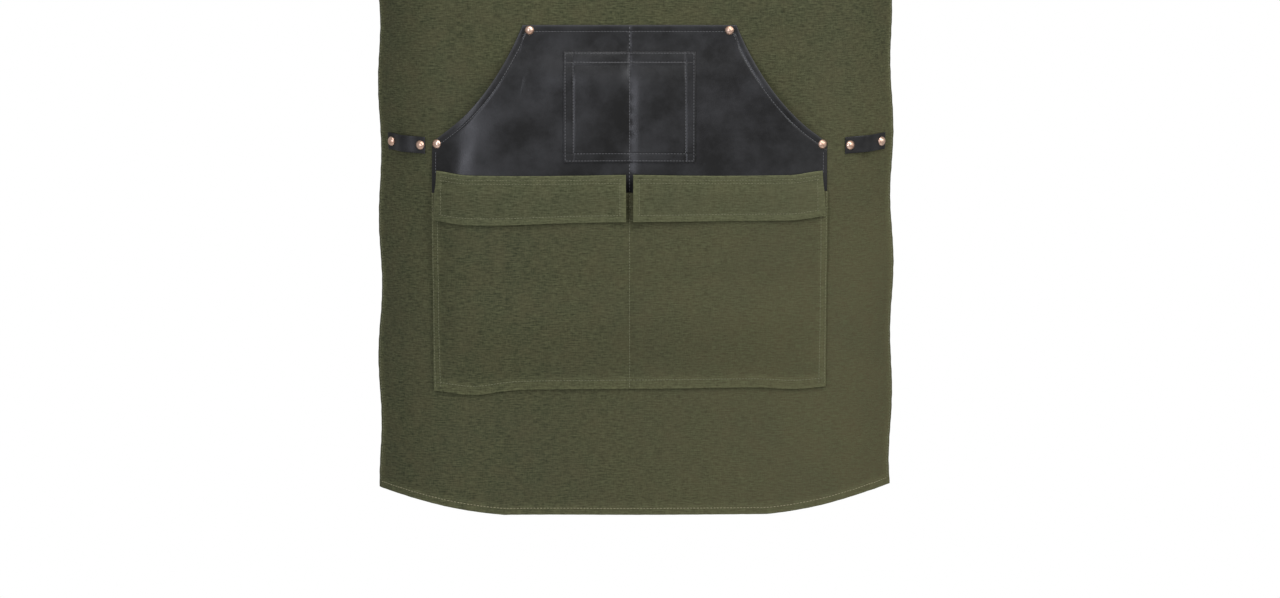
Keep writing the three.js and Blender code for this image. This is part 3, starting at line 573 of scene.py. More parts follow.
def stitches(name, rows, at, thread, pitch=stitch_pitch, radius=stitch_radius):
    """Rows of stitches on a surface. Each row is a list of (s, h) places; at gives points and normals."""
    threads = []
    for row in rows:
        row = np.asarray(row, float)
        reach = reach_along(at(row[:, 0], row[:, 1])[0])
        count = max(1, int(reach[-1] / pitch))
        centres = (np.arange(count) + 0.5) * reach[-1] / count
        middle, normal = at(*(np.interp(centres, reach, row[:, k]) for k in (0, 1)))
        along = at(*(np.interp(centres + 0.0004, reach, row[:, k]) for k in (0, 1)))[0] - middle
        along /= np.linalg.norm(along, axis=1, keepdims=True)
        threads += zip(middle, along * stitch_length, normal)
    return thread_piece(name, threads, thread, radius)


def row_up(s, low, high, count):
    return [(s, h) for h in np.linspace(low, high, count)]


def row_across(half, count, height, middle=0.0):
    """A row from side to side. height is a number or a function of s."""
    places = middle + np.linspace(-half, half, count)
    return [(s, float(height(s)) if callable(height) else height) for s in places]


panel_face = surface(panel_off, panel_thick)
side_rows = [row_up(side * (panel_half - edge_inset), hem_rise + 0.008, waist_height - 0.004, 60)
             for _, side in sides]
foot_row = row_across(panel_half - 0.006, 90, lambda s: hem_height(s) + hem_inset)
arm_rows = [[(side * u, float(apron_top(u) - edge_inset * slant(apron_top, u, 0.002)))
             for u in np.linspace(bib_half + 0.006, panel_half - 0.004, 60)] for _, side in sides]
bib_row = row_across(bib_half - 0.004, 30, apron_length - edge_inset)
hem_stitching = stitches("hem_stitching", [foot_row], panel_face, tan_thread, 0.0042, 0.00042)
edge_stitching = stitches("edge_stitching", side_rows + arm_rows + [bib_row], panel_face, olive_thread)
for piece in (apron_cloth, hem_stitching, edge_stitching):
    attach(piece, "apron")
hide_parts("apron_panel")

# ---- Leather hand pocket ----
# A wide panel of black oiled leather, cut with a curved opening for a hand at each side. It is sewn to the
# canvas along its top, down its sides below the openings, and across the foot behind the canvas pocket.
pocket_shift = -0.007
pocket_half = 0.246
hand_top = 0.617
hand_top_half = 0.1325
hand_corner = 0.471
hand_bottom = 0.330
hand_sewn = 0.016
hand_depth = 0.0122
hand_inset = 0.0078  # from the curved edges to their stitches
side_fall = 0.040  # width of the pocket's sloping sides
leather_thick = 0.0020
touch = 0.0003
rim = 0.0009
flap_top = 0.432
leather_sewn = hem_thick / 2 - 0.0004 + touch + leather_thick / 2
canvas_sewn = leather_sewn + leather_thick / 2 + touch + hem_thick / 2
hand_bend = (hand_top_half + 0.36 * (pocket_half - hand_top_half),
             hand_corner + 0.33 * (hand_top - hand_corner))


def pocket_side(s):
    """Distance in from the pockets' nearer side."""
    return pocket_half - np.abs(s - pocket_shift)


def side_shape(s):
    """From 0 at a pocket's sides to 1 on its front, with a soft fold between."""
    t = pocket_side(s) / side_fall
    soft = 0.45
    return np.clip(np.where(t < 1 - soft, t, 1 - np.maximum(0, 1 + soft - t) ** 2 / (4 * soft)), 0, 1)


def seam_dip(s, depth=0.0016):
    return -depth * bell(s - pocket_shift, 0.007)


def centre_dip(s, h, top, fade):
    """The centre seam holds the pockets back near the gap between the flaps. The dip begins at a height
    and is full after fade, which is negative where it deepens downward."""
    return -0.0075 * bell(s - pocket_shift, 0.014) * ease((h - top) / fade)


def furrow(distance, depth=0.0005, width=0.0011):
    """The groove that a tight row of stitches pulls."""
    return -depth * bell(distance, width)


def hand_edge(s):
    u = np.clip(np.abs(s - pocket_shift), hand_top_half, pocket_half)
    return curve_height((hand_top_half, hand_top), hand_bend, (pocket_half, hand_corner), u)


def hand_slant(s):
    return slant(hand_edge, pocket_shift + np.abs(s - pocket_shift), 0.001)


def hand_reach(s, h):
    return (hand_edge(s) - h) / hand_slant(s)


def leather_off(s, h):
    top = ease((hand_top - hand_sewn - h) / 0.060)
    bottom = ease((h - hand_bottom) / 0.060)
    body = hand_depth * side_shape(s) * top * bottom
    slack = 0.0017 * np.sin(25 * s + 9 * h + 0.7) * np.sin(29 * h + 3.2 * s + 1) * top
    slack = slack + 0.0007 * np.sin(61 * s - 40 * h) * np.sin(33 * h + 11 * s) * top
    slack = slack + 0.00022 * np.sin(390 * h) * bell(s - pocket_shift, 0.004)
    dips = centre_dip(s, h, 0.437, -0.03) * bottom + seam_dip(s) * top
    sewn = furrow(s - pocket_shift, 0.0005, 0.0016) + furrow(hand_reach(s, h) - hand_inset)
    return leather_sewn + body + slack + dips + sewn


side_start = pocket_half - side_fall - 0.010
hand_steps = runs((0, 0.006, 0.0015), (0.006, hand_top_half, 0.005), (hand_top_half, 0.16, 0.002),
                  (0.16, side_start, 0.004), (side_start, pocket_half - rim, 0.0025),
                  (pocket_half - rim, pocket_half, 0.0003))
hand_columns = mirrored(hand_steps, pocket_shift)
hand_border = np.array([0.0118, 0.0100, 0.0092, 0.0085, 0.0078, 0.0071, 0.0064, 0.0056, 0.0035, rim, 0.0006,
                        0.0003, 0])


def hand_rows(s):
    border = float(hand_edge(s)) - hand_border * float(hand_slant(s))
    body = np.linspace(hand_bottom + rim, border[0], 70)
    return np.concatenate([[hand_bottom, hand_bottom + 0.0004], body, border[1:]])


def hand_thick(s, h):
    return leather_thick * edge_round(nearest(pocket_side(s), h - hand_bottom, hand_reach(s, h)), rim)


def hand_rubbed(s, h):
    return bell(hand_reach(s, h), 0.0011)


leather_panel = cloth("hand_pocket_leather", hand_columns, hand_rows, leather_off, hand_thick, hand_rubbed)


def hide_grain():
    """Leather: grain height, a soft cloud mask and a fine scuff mask, over the cut's own plane."""
    group, given, result = shader_group("hide_grain", {"Grain": 900.0}, ("Height", "Cloud", "Scuff"))
    place = cut_plane(group)[0]
    cells = group.nodes.new("ShaderNodeTexVoronoi")
    cells.feature = "SMOOTH_F1"
    for label, value in (("Smoothness", 0.6), ("Vector", place), ("Scale", given.outputs["Grain"])):
        feed(group, cells.inputs[label], value)
    domes = math_node(group, "SUBTRACT", 1.0, cells.outputs["Distance"])
    fibre = math_node(group, "MULTIPLY", noise_node(group, place, 1500, 2.0), 0.5)
    streak = noise_node(group, stretched(group, place, 160, 260), 1.0, 6.0, 0.7)
    cloud = ramp(group, noise_node(group, place, 17, 6.0, 0.68), 0.38, 0.64)
    for label, value in (("Height", math_node(group, "ADD", domes, fibre)), ("Cloud", cloud),
                         ("Scuff", ramp(group, streak, 0.56, 0.74))):
        feed(group, result.inputs[label], value)
    return group


grain_group = hide_grain()


def leather_material(name, dark, pale, rough, grain=900.0):
    material, tree, shader = base_material(name, rough, specular=0.31)
    hide = use_group(tree, grain_group, Grain=grain).outputs
    cloudy = mixed(tree, hide["Cloud"], dark, pale)
    scuffed = mixed(tree, math_node(tree, "MULTIPLY", hide["Scuff"], 0.08), cloudy, shade(pale, 2.2))
    cut_edge = mixed(tree, rubbed_share(tree, 0.75), scuffed, shade(pale, 3.2))
    ridge = ramp(tree, tree.nodes.new("ShaderNodeNewGeometry").outputs["Pointiness"], 0.53, 0.60)
    feed(tree, shader.inputs["Base Color"],
         mixed(tree, math_node(tree, "MULTIPLY", ridge, 0.6), cut_edge, shade(pale, 3.2)))
    feed(tree, shader.inputs["Roughness"], ramp(tree, hide["Cloud"], 0, 1, rough - 0.03, rough + 0.09))
    bump(tree, shader, hide["Height"], 0.00010, 0.45)
    return material


black_leather = leather_material("black_oiled_leather", (0.0085, 0.0082, 0.0080, 1),
                                 (0.0205, 0.0204, 0.0212, 1), 0.31)
leather_panel.data.materials.append(black_leather)


def hand_curve(side):
    """The stitch line inside a curved hand opening."""
    row = []
    for u in np.linspace(hand_top_half, pocket_half - 0.004, 50):
        s = pocket_shift + u
        away = slant(hand_edge, s, 0.001)
        row.append((pocket_shift + side * (u + hand_inset * slope(hand_edge, s, 0.001) / away),
                    float(hand_edge(s)) - hand_inset / away))
    return [p for p in row if p[1] < hand_top - hand_inset]


hand_face = surface(leather_off, hand_thick)
top_row = row_across(hand_top_half - 0.004, 30, hand_top - hand_inset, pocket_shift)
hand_seams = [hand_curve(side) for _, side in sides]
hand_seams += [row_up(pocket_shift + side * (pocket_half - 0.0055), flap_top, hand_corner - 0.012, 8)
               for _, side in sides]
hand_stitching = stitches("hand_pocket_stitching", [top_row] + hand_seams, hand_face, black_thread)
for piece in (leather_panel, hand_stitching):
    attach(piece, "apron")
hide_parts("leather_pocket")

# ---- Leather patch pocket ----
# A smaller pocket of the same leather on the hand pocket, with a turned top, double stitched all round.
# The seam down the middle splits it into two narrow pockets.
patch_half = 0.082
patch_top = 0.5845
patch_bottom = 0.447
patch_depth = 0.0016
patch_round = 0.030
patch_turn = 0.0145  # depth of the turned top
inner_side, inner_foot, inner_top = 0.0122, 0.0112, 0.0132  # from the patch's edges to its inner stitches


def patch_edges(s, h):
    return patch_half - np.abs(s - pocket_shift), h - patch_bottom, patch_top - h


def patch_off(s, h):
    side, foot, top = patch_edges(s, h)
    open_here = ease((side - 0.009) / patch_round) * ease((foot - 0.009) / 0.03)
    halves = 1 - bell(s - pocket_shift, 0.022)
    sewn = sum(furrow(edge - inset, 0.0004)
               for edge, inset in ((side, inner_side), (foot, inner_foot), (top, inner_top)))
    return leather_off(s, h) + leather_thick + 0.0004 + patch_depth * open_here * halves + sewn


def patch_thick(s, h):
    side, foot, top = patch_edges(s, h)
    return (0.0016 + 0.0009 * turned_in((top, patch_turn))) * edge_round(nearest(side, foot, top), rim)


patch_steps = runs((0, 0.006, 0.0012), (0.006, patch_half - 0.02, 0.003),
                   (patch_half - 0.02, patch_half - rim, 0.0010), (patch_half - rim, patch_half, 0.0003))
patch_heights = np.concatenate([
    [patch_bottom, patch_bottom + 0.0004], np.linspace(patch_bottom + rim, patch_bottom + 0.015, 16),
    np.linspace(patch_bottom + 0.017, patch_top - patch_turn - turn_line, 44),
    patch_top - np.array([patch_turn + 0.0006, patch_turn, 0.0138, inner_top, 0.0126, 0.010, 0.006, rim,
                          0.0004, 0])])
patch_leather = cloth("patch_pocket_leather", mirrored(patch_steps, pocket_shift), lambda s: patch_heights,
                      patch_off, patch_thick)
patch_leather.data.materials.append(black_leather)


def patch_frame(side_inset, top_inset, foot_inset):
    """Rows of stitches up both sides, across the top and along the foot."""
    half = patch_half - side_inset
    low, high = patch_bottom + foot_inset, patch_top - top_inset
    return [row_up(pocket_shift + side * half, low, high, 24) for _, side in sides] + [
        row_across(half, 24, h, pocket_shift) for h in (high, low)]


patch_rows = patch_frame(0.0022, 0.0024, 0.0022) + patch_frame(inner_side, inner_top, inner_foot)
patch_seam = row_up(pocket_shift, patch_bottom + 0.001, patch_top - 0.001, 30)
patch_stitching = stitches("patch_pocket_stitching", patch_rows + [patch_seam],
                           surface(patch_off, patch_thick), black_thread)
above = row_up(pocket_shift, patch_top + 0.002, hand_top - 0.0015, 10)
below = row_up(pocket_shift, 0.395, patch_bottom - 0.002, 12)
seam_stitching = stitches("centre_seam_stitching", [above, below], hand_face, black_thread, 0.0046, 0.00055)
for piece in (patch_leather, patch_stitching, seam_stitching):
    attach(piece, "apron")
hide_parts("leather_patch_pocket")

# ---- Canvas pocket ----
# A wide pocket of the apron's canvas over the foot of the hand pocket, with its mouth under the flaps. It is
# double stitched down its sides, turned up at its foot, and split in two by the centre seam.
tool_top = 0.409
tool_bottom = 0.161
tool_depth = 0.0155
tool_side_hem = 0.0095
tool_foot_hem = 0.0135
tool_mouth_hem = 0.02
tool_hem_thick = 0.0022


def tool_low(s):
    """The pocket's foot sags a little where its sides turn back."""
    u = s - pocket_shift
    return tool_bottom - 0.0062 * bell(u + 0.195, 0.035) - 0.0030 * bell(u - 0.205, 0.03)


def tool_off(s, h):
    level = hem_thick + touch + (canvas_sewn - hem_thick - touch) * ease((h - hand_bottom + 0.036) / 0.030)
    body = tool_depth * side_shape(s) * ease((h - tool_bottom) / 0.10)
    slack = 0.0009 * np.sin(21 * s + 8 * h + 1) * np.sin(19 * h) * side_shape(s)
    dips = seam_dip(s, 0.0012) + centre_dip(s, h, 0.345, 0.04)
    return level + body + slack + dips + pucker(s, h - tool_bottom) + pucker(h, pocket_side(s))


def tool_thick(s, h):
    side, foot, top = pocket_side(s), h - tool_low(s), tool_top - h
    turned = turned_in((side, tool_side_hem), (foot, tool_foot_hem), (top, tool_mouth_hem))
    thick = canvas_thick + (tool_hem_thick - canvas_thick) * turned
    return thick * edge_round(nearest(side, foot, top), 0.001)


def tool_rows(s):
    low = float(tool_low(s))
    foot = low + np.array([0, 0.0005, 0.001, 0.005, 0.009, tool_foot_hem, tool_foot_hem + 0.0006])
    mouth = tool_top - np.array([tool_mouth_hem + 0.0006, tool_mouth_hem, 0.01, 0.001, 0.0005, 0])
    body = np.linspace(low + tool_foot_hem + turn_line, mouth[0] - 0.0009, 60)
    return np.concatenate([foot, body, mouth])


def tool_rubbed(s, h):
    return np.maximum(edge_wear(pocket_side(s), tool_side_hem), edge_wear(h - tool_low(s), tool_foot_hem))


tool_steps = runs((0, 0.006, 0.0015), (0.006, side_start, 0.005), (side_start, pocket_half - 0.0108, 0.0025),
                  (pocket_half - 0.0108, pocket_half - tool_side_hem, 0.0006),
                  (pocket_half - tool_side_hem, pocket_half - 0.001, 0.002),
                  (pocket_half - 0.001, pocket_half, 0.0005))
tool_cloth = cloth("canvas_pocket_cloth", mirrored(tool_steps, pocket_shift), tool_rows, tool_off, tool_thick,
                   tool_rubbed)
tool_cloth.data.materials.append(green_canvas)
tool_seams = [row_across(pocket_half - 0.004, 70, lambda s: tool_low(s) + 0.0115, pocket_shift)]
tool_seams += [row_up(pocket_shift + side * (pocket_half - inset), tool_bottom + 0.004, tool_top, 40)
               for _, side in sides for inset in (0.0022, 0.0088)]
tool_seams += [row_up(pocket_shift, tool_bottom + 0.001, tool_top - 0.001, 40)]
tool_seams += [row_across(pocket_half - 0.012, 60, tool_top - 0.017, pocket_shift)]
tool_stitching = stitches("canvas_pocket_stitching", tool_seams, surface(tool_off, tool_thick), olive_thread)
for piece in (tool_cloth, tool_stitching):
    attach(piece, "apron")
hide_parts("canvas_pocket")

# ---- Pocket flaps ----
# Two flaps of lighter canvas, two layers sewn and turned, over the mouth of the canvas pocket. Each is sewn
# to the leather along its top with two rows, and lifts from the lower row.
flap_fold = 0.420
flap_bottom = 0.3735
flap_inner = 0.0045
flap_outer = pocket_half - 0.0030
flap_thick = 0.0021
flap_lean = 0.0034  # how much shorter a flap is along its top
flap_rim_width = 0.0011


def flap_off(s, h):
    u = np.clip(np.abs(s - pocket_shift), 0, pocket_half - 0.001)
    level = pocket_shift + np.where(s < pocket_shift, -u, u)
    root = leather_sewn + hand_depth * side_shape(level) + leather_thick / 2 + touch + flap_thick / 2
    over_tool = canvas_sewn + tool_depth * side_shape(level) + 0.0015 + touch + flap_thick / 2
    fall = ease((flap_fold + 0.002 - h) / 0.013)
    flick = 0.0022 * ease((flap_top - h) / 0.06) * np.sin(19 * s + 0.8) ** 2
    return root + (over_tool - root) * fall + flick + pucker(s, h - flap_bottom) * 1.5


def flap_rise(h):
    return (h - flap_bottom) / (flap_top - flap_bottom)


def flap_slant(s, h):
    """A flap's outer end leans in, so that it is shorter at its top."""
    u = s - pocket_shift
    return s - np.sign(u) * flap_lean * flap_rise(h) * ease((np.abs(u) - 0.19) / (flap_outer - 0.012 - 0.19))


def flap_low(s):
    u = s - pocket_shift
    return flap_bottom - 0.0024 * bell(u + 0.170, 0.07) + 0.0035 * ease((np.abs(u) - 0.2) / 0.045)


def flap_high(s):
    u = np.abs(s - pocket_shift)
    return flap_top + 0.0038 * ease((u - 0.2) / 0.045) - 0.0015 * np.sin(math.pi * u / 0.24)


def flap_edges(s, h):
    u = np.abs(s - pocket_shift)
    return flap_outer - flap_lean * flap_rise(h) - u, u - flap_inner, h - flap_low(s), flap_high(s) - h


def flap_rim(s, h):
    edge = nearest(*flap_edges(s, h))
    return (flap_thick + 0.0006 * bell(edge - 0.0035, 0.002)) * edge_round(edge, flap_rim_width)


def flap_rows(s):
    low, high = float(flap_low(s)), float(flap_high(s))
    return np.concatenate([[low, low + 0.0005], np.linspace(low + flap_rim_width, high - flap_rim_width, 34),
                           [high - 0.0005, high]])


def flap_rubbed(s, h):
    outer, inner, low, high = flap_edges(s, h)
    return np.maximum(edge_wear(nearest(outer, inner), 0.008), edge_wear(nearest(low, high), 0.0085))


flap_steps = runs((flap_inner, flap_inner + flap_rim_width, 0.0005),
                  (flap_inner + flap_rim_width, 0.20, 0.004), (0.20, flap_outer - flap_rim_width, 0.002),
                  (flap_outer - flap_rim_width, flap_outer, 0.0005))
flap_face = surface(flap_off, flap_rim)
for side_name, side in sides:
    body = "flap_" + side_name
    flap = cloth(body + "_cloth", np.sort(side * flap_steps) + pocket_shift, flap_rows, flap_off, flap_rim,
                 flap_rubbed, flap_slant)
    flap.data.materials.append(flap_canvas)
    across = [pocket_shift + side * u for u in np.linspace(flap_inner + 0.005, flap_outer - 0.008, 50)]
    heading = [[(s, float(flap_high(s)) - drop) for s in across] for drop in (0.0058, 0.0104)]
    foot = [(s, float(flap_low(s)) + 0.0085) for s in across]
    end_places = [pocket_shift + side * u for u in (flap_inner + 0.0075, flap_outer - 0.0105)]
    ends = [row_up(s, float(flap_low(s)) + 0.0085, flap_top - 0.006, 16) for s in end_places]
    sewing = stitches(body + "_stitching", heading + [foot] + ends, flap_face, olive_thread)
    for piece in (flap, sewing):
        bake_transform(piece)
    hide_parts(body, body + "_heading")

# ---- Tool loops ----
# A strip of the same leather at each side, riveted at both ends so that it bows off the canvas. Nothing is
# sewn, and its cut edges are left raw.
loop_height = 0.468
loop_inner = 0.262
loop_outer = 0.321
loop_half = 0.0105
loop_bow = 0.0042
loop_lean = 0.0016  # the outer end sits higher than the middle, and the inner end lower
loop_rim = 0.0006
rivet_inset = 0.0065
loop_length = loop_outer - loop_inner
loop_middle = (loop_inner + loop_outer) / 2
loop_sewn = canvas_thick / 2 + touch + leather_thick / 2


def loop_level(s):
    return loop_height + loop_lean * (np.abs(s) - loop_middle) / (loop_outer - loop_middle)


def loop_off(s, h):
    ends = 1.3 * rivet_inset / loop_length
    free = np.clip(((np.abs(s) - loop_inner) / loop_length - ends) / (1 - 2 * ends), 0, 1)
    return loop_sewn + loop_bow * np.sin(math.pi * free) ** 2


def loop_thick(s, h):
    edge = nearest(np.abs(s) - loop_inner, loop_outer - np.abs(s), loop_half - np.abs(h - loop_level(s)))
    return leather_thick * edge_round(edge, loop_rim)


loop_steps = runs((loop_inner, loop_inner + loop_rim, 0.0003),
                  (loop_inner + loop_rim, loop_outer - loop_rim, 0.0012),
                  (loop_outer - loop_rim, loop_outer, 0.0003))
loop_rise = np.concatenate([[-loop_half, -loop_half + 0.0003],
                            np.linspace(-loop_half + loop_rim, loop_half - loop_rim, 14),
                            [loop_half - 0.0003, loop_half]])
loop_face = surface(loop_off, loop_thick)
for side_name, side in sides:
    strip = cloth("tool_loop_leather_" + side_name, np.sort(side * loop_steps),
                  lambda s: loop_level(s) + loop_rise, loop_off, loop_thick)
    strip.data.materials.append(black_leather)
    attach(strip, "apron")
    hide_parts("tool_loop_" + side_name)

# ---- Rivets and burrs ----
# Domed copper rivets with a washer, the burr, on the back, where the end of each post is hammered over it.
# They carry small dents and patches of darker tarnish.
burr_radius = 0.0045
burr_thick = 0.0012
post_radius = 0.0016
waist_rivet_height = waist_height - 0.020
tie_s = panel_half - 0.022
tie_thick = 0.0020
tie_behind = 0.0057  # clear of the cloth's curl when a tie swings out


def lathe(name, profile, origin, axis, around=28, dents=0.0, seed=0.0):
    """Turns a profile of (radius, height) about an axis. The first and last radius are zero."""
    axis = np.asarray(axis, float) / np.linalg.norm(axis)
    across = np.cross(axis, (0, 0, 1.0) if abs(axis[2]) < 0.9 else (1.0, 0, 0))
    across /= np.linalg.norm(across)
    beside = np.cross(axis, across)
    vertices = [np.asarray(origin) + axis * profile[0][1]]
    for radius, height in profile[1:-1]:
        for turn in (2 * math.pi * k / around for k in range(around)):
            dent = dents * math.sin(3 * turn + seed) * math.sin(900 * radius + seed)
            vertices.append(np.asarray(origin) + axis * (height + dent)
                            + (across * math.cos(turn) + beside * math.sin(turn)) * radius)
    vertices.append(np.asarray(origin) + axis * profile[-1][1])
    rings = len(profile) - 2
    last = len(vertices) - 1
    faces = []
    for k in range(around):
        n = (k + 1) % around
        faces.append((0, 1 + k, 1 + n))
        faces.append((last, 1 + (rings - 1) * around + n, 1 + (rings - 1) * around + k))
        for p in (1 + i * around for i in range(rings - 1)):
            faces.append((p + k, p + around + k, p + around + n, p + n))
    return new_piece(name, vertices, faces, sharp=40)


def metal_wear():
    """Handled metal: a tarnish mask in patches and a fine scratch height, over the object's own space."""
    group, given, result = shader_group("metal_wear", {"Scale": 90.0}, ("Tarnish", "Scratches"))
    sized = group.nodes.new("ShaderNodeVectorMath")
    sized.operation = "SCALE"
    feed(group, sized.inputs[0], group.nodes.new("ShaderNodeTexCoord").outputs["Object"])
    feed(group, sized.inputs["Scale"], given.outputs["Scale"])
    patches = noise_node(group, sized.outputs[0], 1.0, 4.0, 0.6)
    fine = noise_node(group, stretched(group, sized.outputs[0], 30, 4), 1.0, 3.0, 0.6)
    feed(group, result.inputs["Tarnish"], ramp(group, patches, 0.42, 0.68))
    feed(group, result.inputs["Scratches"], fine)
    return group


wear_group = metal_wear()


def metal_material(name, bright, dull, rough, scale, metal=1.0, duller=0.16, height="Scratches",
                   depth=0.00004, strength=0.6):
    """Metal or its paint, from bright to dull and rougher by duller where it is tarnished."""
    material, tree, shader = base_material(name, rough, metal)
    wear = use_group(tree, wear_group, Scale=scale).outputs
    feed(tree, shader.inputs["Base Color"], mixed(tree, wear["Tarnish"], bright, dull))
    feed(tree, shader.inputs["Roughness"], ramp(tree, wear["Tarnish"], 0, 1, rough, rough + duller))
    bump(tree, shader, wear[height], depth, strength)
    return material


copper_metal = metal_material("rose_copper", (0.88, 0.62, 0.49, 1), (0.66, 0.40, 0.28, 1), 0.30, 160.0)
dome_profile = ((0, 0.0036), (0.0010, 0.00356), (0.0022, 0.0033), (0.0034, 0.0028), (0.0044, 0.0021),
                (0.0052, 0.0013), (0.0057, 0.0006), (0.0060, 0.0001), (0.00595, -0.0003), (0.0050, -0.0005))


def rivet_at(node, at, s, h, body, tail):
    """A rivet on a surface, and its burr behind the work. tail is from the dome to the burr's back."""
    point, normal = (found[0] for found in at(np.array([s]), np.array([h])))
    profile = dome_profile + ((post_radius, -0.0006), (post_radius, -tail), (0.0020, -tail - 0.0003),
                              (0.0018, -tail - 0.0007), (0, -tail - 0.0009))
    washer = ((0, -tail + 0.0011), (burr_radius - 0.0002, -tail + 0.0011), (burr_radius, -tail + 0.0008),
              (burr_radius, -tail + 0.0002), (burr_radius - 0.0004, -tail), (0, -tail))
    dome = lathe(node.replace("rivet", "copper_rivet"), profile, point, normal, dents=0.00005,
                 seed=61 * s + 17 * h)
    burr = lathe(node.replace("rivet", "copper_burr"), washer, point, normal)
    for piece in (dome, burr):
        piece.data.materials.append(copper_metal)
        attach(piece, body)
    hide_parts(node)
    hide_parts(node.replace("rivet", "burr"))


for side_name, side in sides:
    upper = pocket_shift + side * (hand_top_half - 0.0085)
    lower = pocket_shift + side * (pocket_half - rivet_inset)
    lower_h = loop_height + 0.001
    behind_lower = float(leather_off(np.array([lower]), np.array([lower_h]))[0])
    loop_s = {"inner": side * (loop_inner + rivet_inset), "outer": side * (loop_outer - rivet_inset)}
    through = canvas_thick / 2 + burr_thick
    rivet_at("pocket_rivet_upper_" + side_name, hand_face, upper, hand_top - 0.0065, "apron",
             leather_sewn + 0.001 + through)
    rivet_at("pocket_rivet_lower_" + side_name, hand_face, lower, lower_h, "apron",
             behind_lower + 0.001 + through)
    for end_name, s in loop_s.items():
        rivet_at(f"loop_rivet_{side_name}_{end_name}", loop_face, s, float(loop_level(s)), "apron",
                 loop_sewn + 0.001 + through)
    rivet_at("tie_rivet_" + side_name, panel_face, side * tie_s, waist_rivet_height, "apron",
             tie_behind + tie_thick / 2 + 0.0005 + through)

# ---- Bib tabs ----
# A strip of leather folded round the lower bar of each ring, with the bib between its two ends. Two rivets
# go through both ends and the bib.
tab_width = 0.024
tab_thick = 0.0019
tab_drop = 0.040
bar_rise = 0.007
ring_wire = 0.0018
neck_drop = 0.0030  # from the ring's lower bar down to where the tab's two leaves begin to part
leg_x = bib_half - 0.024
bib_top_z = hem_z + apron_length
bar_z = bib_top_z + bar_rise
tab_leaf = hem_thick / 2 + 0.0001 + tab_thick / 2
tab_bow = ring_wire + 0.0006 + tab_thick / 2


def ringed_piece(name, vertices, rings, around, closed, uvs=None, sharp=45):
    """A piece made of rings of points, with its faces turned outward."""
    piece = new_piece(name, vertices, ring_faces(rings, around, 0, closed), uvs, sharp)
    outward = bmesh.new()
    outward.from_mesh(piece.data)
    bmesh.ops.recalc_face_normals(outward, faces=outward.faces)
    outward.to_mesh(piece.data)
    outward.free()
    return piece


def ribbon(name, frames, width, thick, closed=False, widths=None, crease=0.0024, groove=0.00022):
    """A leather or woven strip through frames (point, across, out), with rounded and creased edges."""
    half, deep = width / 2, thick / 2
    bevel = half - 0.35 * deep
    right = [(bevel, -deep), (half, -0.45 * deep), (half, 0.45 * deep), (bevel, deep)]
    top = [(half - crease + 0.0003, deep), (half - crease, deep - groove), (half - crease - 0.0003, deep)]
    upper = right + top + [(0.4 * half, deep), (0.0, deep)]
    outline = upper + [(-x, y) for x, y in reversed(upper[:-1])]
    outline += [(-0.4 * half, -deep), (0.0, -deep), (0.4 * half, -deep)]
    vertices, uvs = [], []
    shares = np.ones(len(frames)) if widths is None else widths
    for (point, across, out), share, reach in zip(frames, shares, reach_along([f[0] for f in frames])):
        vertices += [point + across * x * share + out * y for x, y in outline]
        uvs += [(x, reach) for x, _ in outline]
    return ringed_piece(name, vertices, len(frames), len(outline), closed, uvs, 38)


def path_frames(points, across):
    """Frames along a path, whose strip is as wide as the direction across and faces out of it."""
    points, across = np.asarray(points, float), np.asarray(across, float)
    out = np.cross(across, np.gradient(points, axis=0))
    out /= np.linalg.norm(out, axis=1, keepdims=True)
    return [(p, across, o) for p, o in zip(points, out)]


def rounded_ends(frames, radius, width, first=True):
    """Width shares that round the corners of a strip's last end, and of its first."""
    reach = reach_along([f[0] for f in frames])
    shares = np.ones(len(frames))
    for distance in ((reach, reach[-1] - reach) if first else (reach[-1] - reach,)):
        near_end = np.clip(1 - distance / radius, 0, 1)
        shares = np.minimum(shares, 1 - (2 * radius / width) * (1 - np.sqrt(1 - near_end ** 2)))
    return shares


strap_leather = leather_material("strap_leather", (0.0125, 0.0115, 0.0112, 1), (0.0225, 0.0205, 0.0198, 1),
                                 0.42, 1100.0)
on_tab = surface(lambda s, h: np.full(np.shape(s), tab_leaf), lambda s, h: np.full(np.shape(s), tab_thick))
tab_low = bib_top_z - tab_drop
tab_neck = bar_z - neck_drop
tab_heights = np.concatenate([tab_low + np.array([0, 0.0006, 0.0012, 0.0024]),
                              np.linspace(tab_low + 0.004, tab_neck, 24)])
front_leaf = [(-bib_away - tab_leaf - (tab_bow - tab_leaf) * float(ease((z - tab_neck + 0.008) / 0.008)), z)
              for z in tab_heights]
back_leaf = [(-2 * bib_away - y, z) for y, z in reversed(front_leaf)]
turn_start = math.asin(-neck_drop / tab_bow)
tab_turn = [(-bib_away - tab_bow * math.cos(a), bar_z + tab_bow * math.sin(a))
            for a in np.linspace(turn_start, math.pi - turn_start, 16)[1:-1]]
for side_name, side in sides:
    frames = path_frames([(side * leg_x, y, z) for y, z in front_leaf + tab_turn + back_leaf], (1.0, 0, 0))
    tab = ribbon("bib_tab_leather_" + side_name, frames, tab_width, tab_thick,
                 widths=rounded_ends(frames, 0.004, tab_width))
    tab.data.materials.append(strap_leather)
    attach(tab, "apron")
    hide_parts("bib_tab_" + side_name)
    for level, h in (("upper", apron_length - 0.013), ("lower", apron_length - 0.030)):
        rivet_at(f"tab_rivet_{side_name}_{level}", on_tab, side * leg_x, h, "apron",
                 2 * tab_leaf + tab_thick + burr_thick - 0.0002)

# ---- Strap rings ----
# A rectangle of cast brass at each side of the bib. Its lower bar is in the tab, and the strap turns round
# its upper bar.
ring_inside = 0.027
ring_rise = 0.019
ring_corner = 0.0042


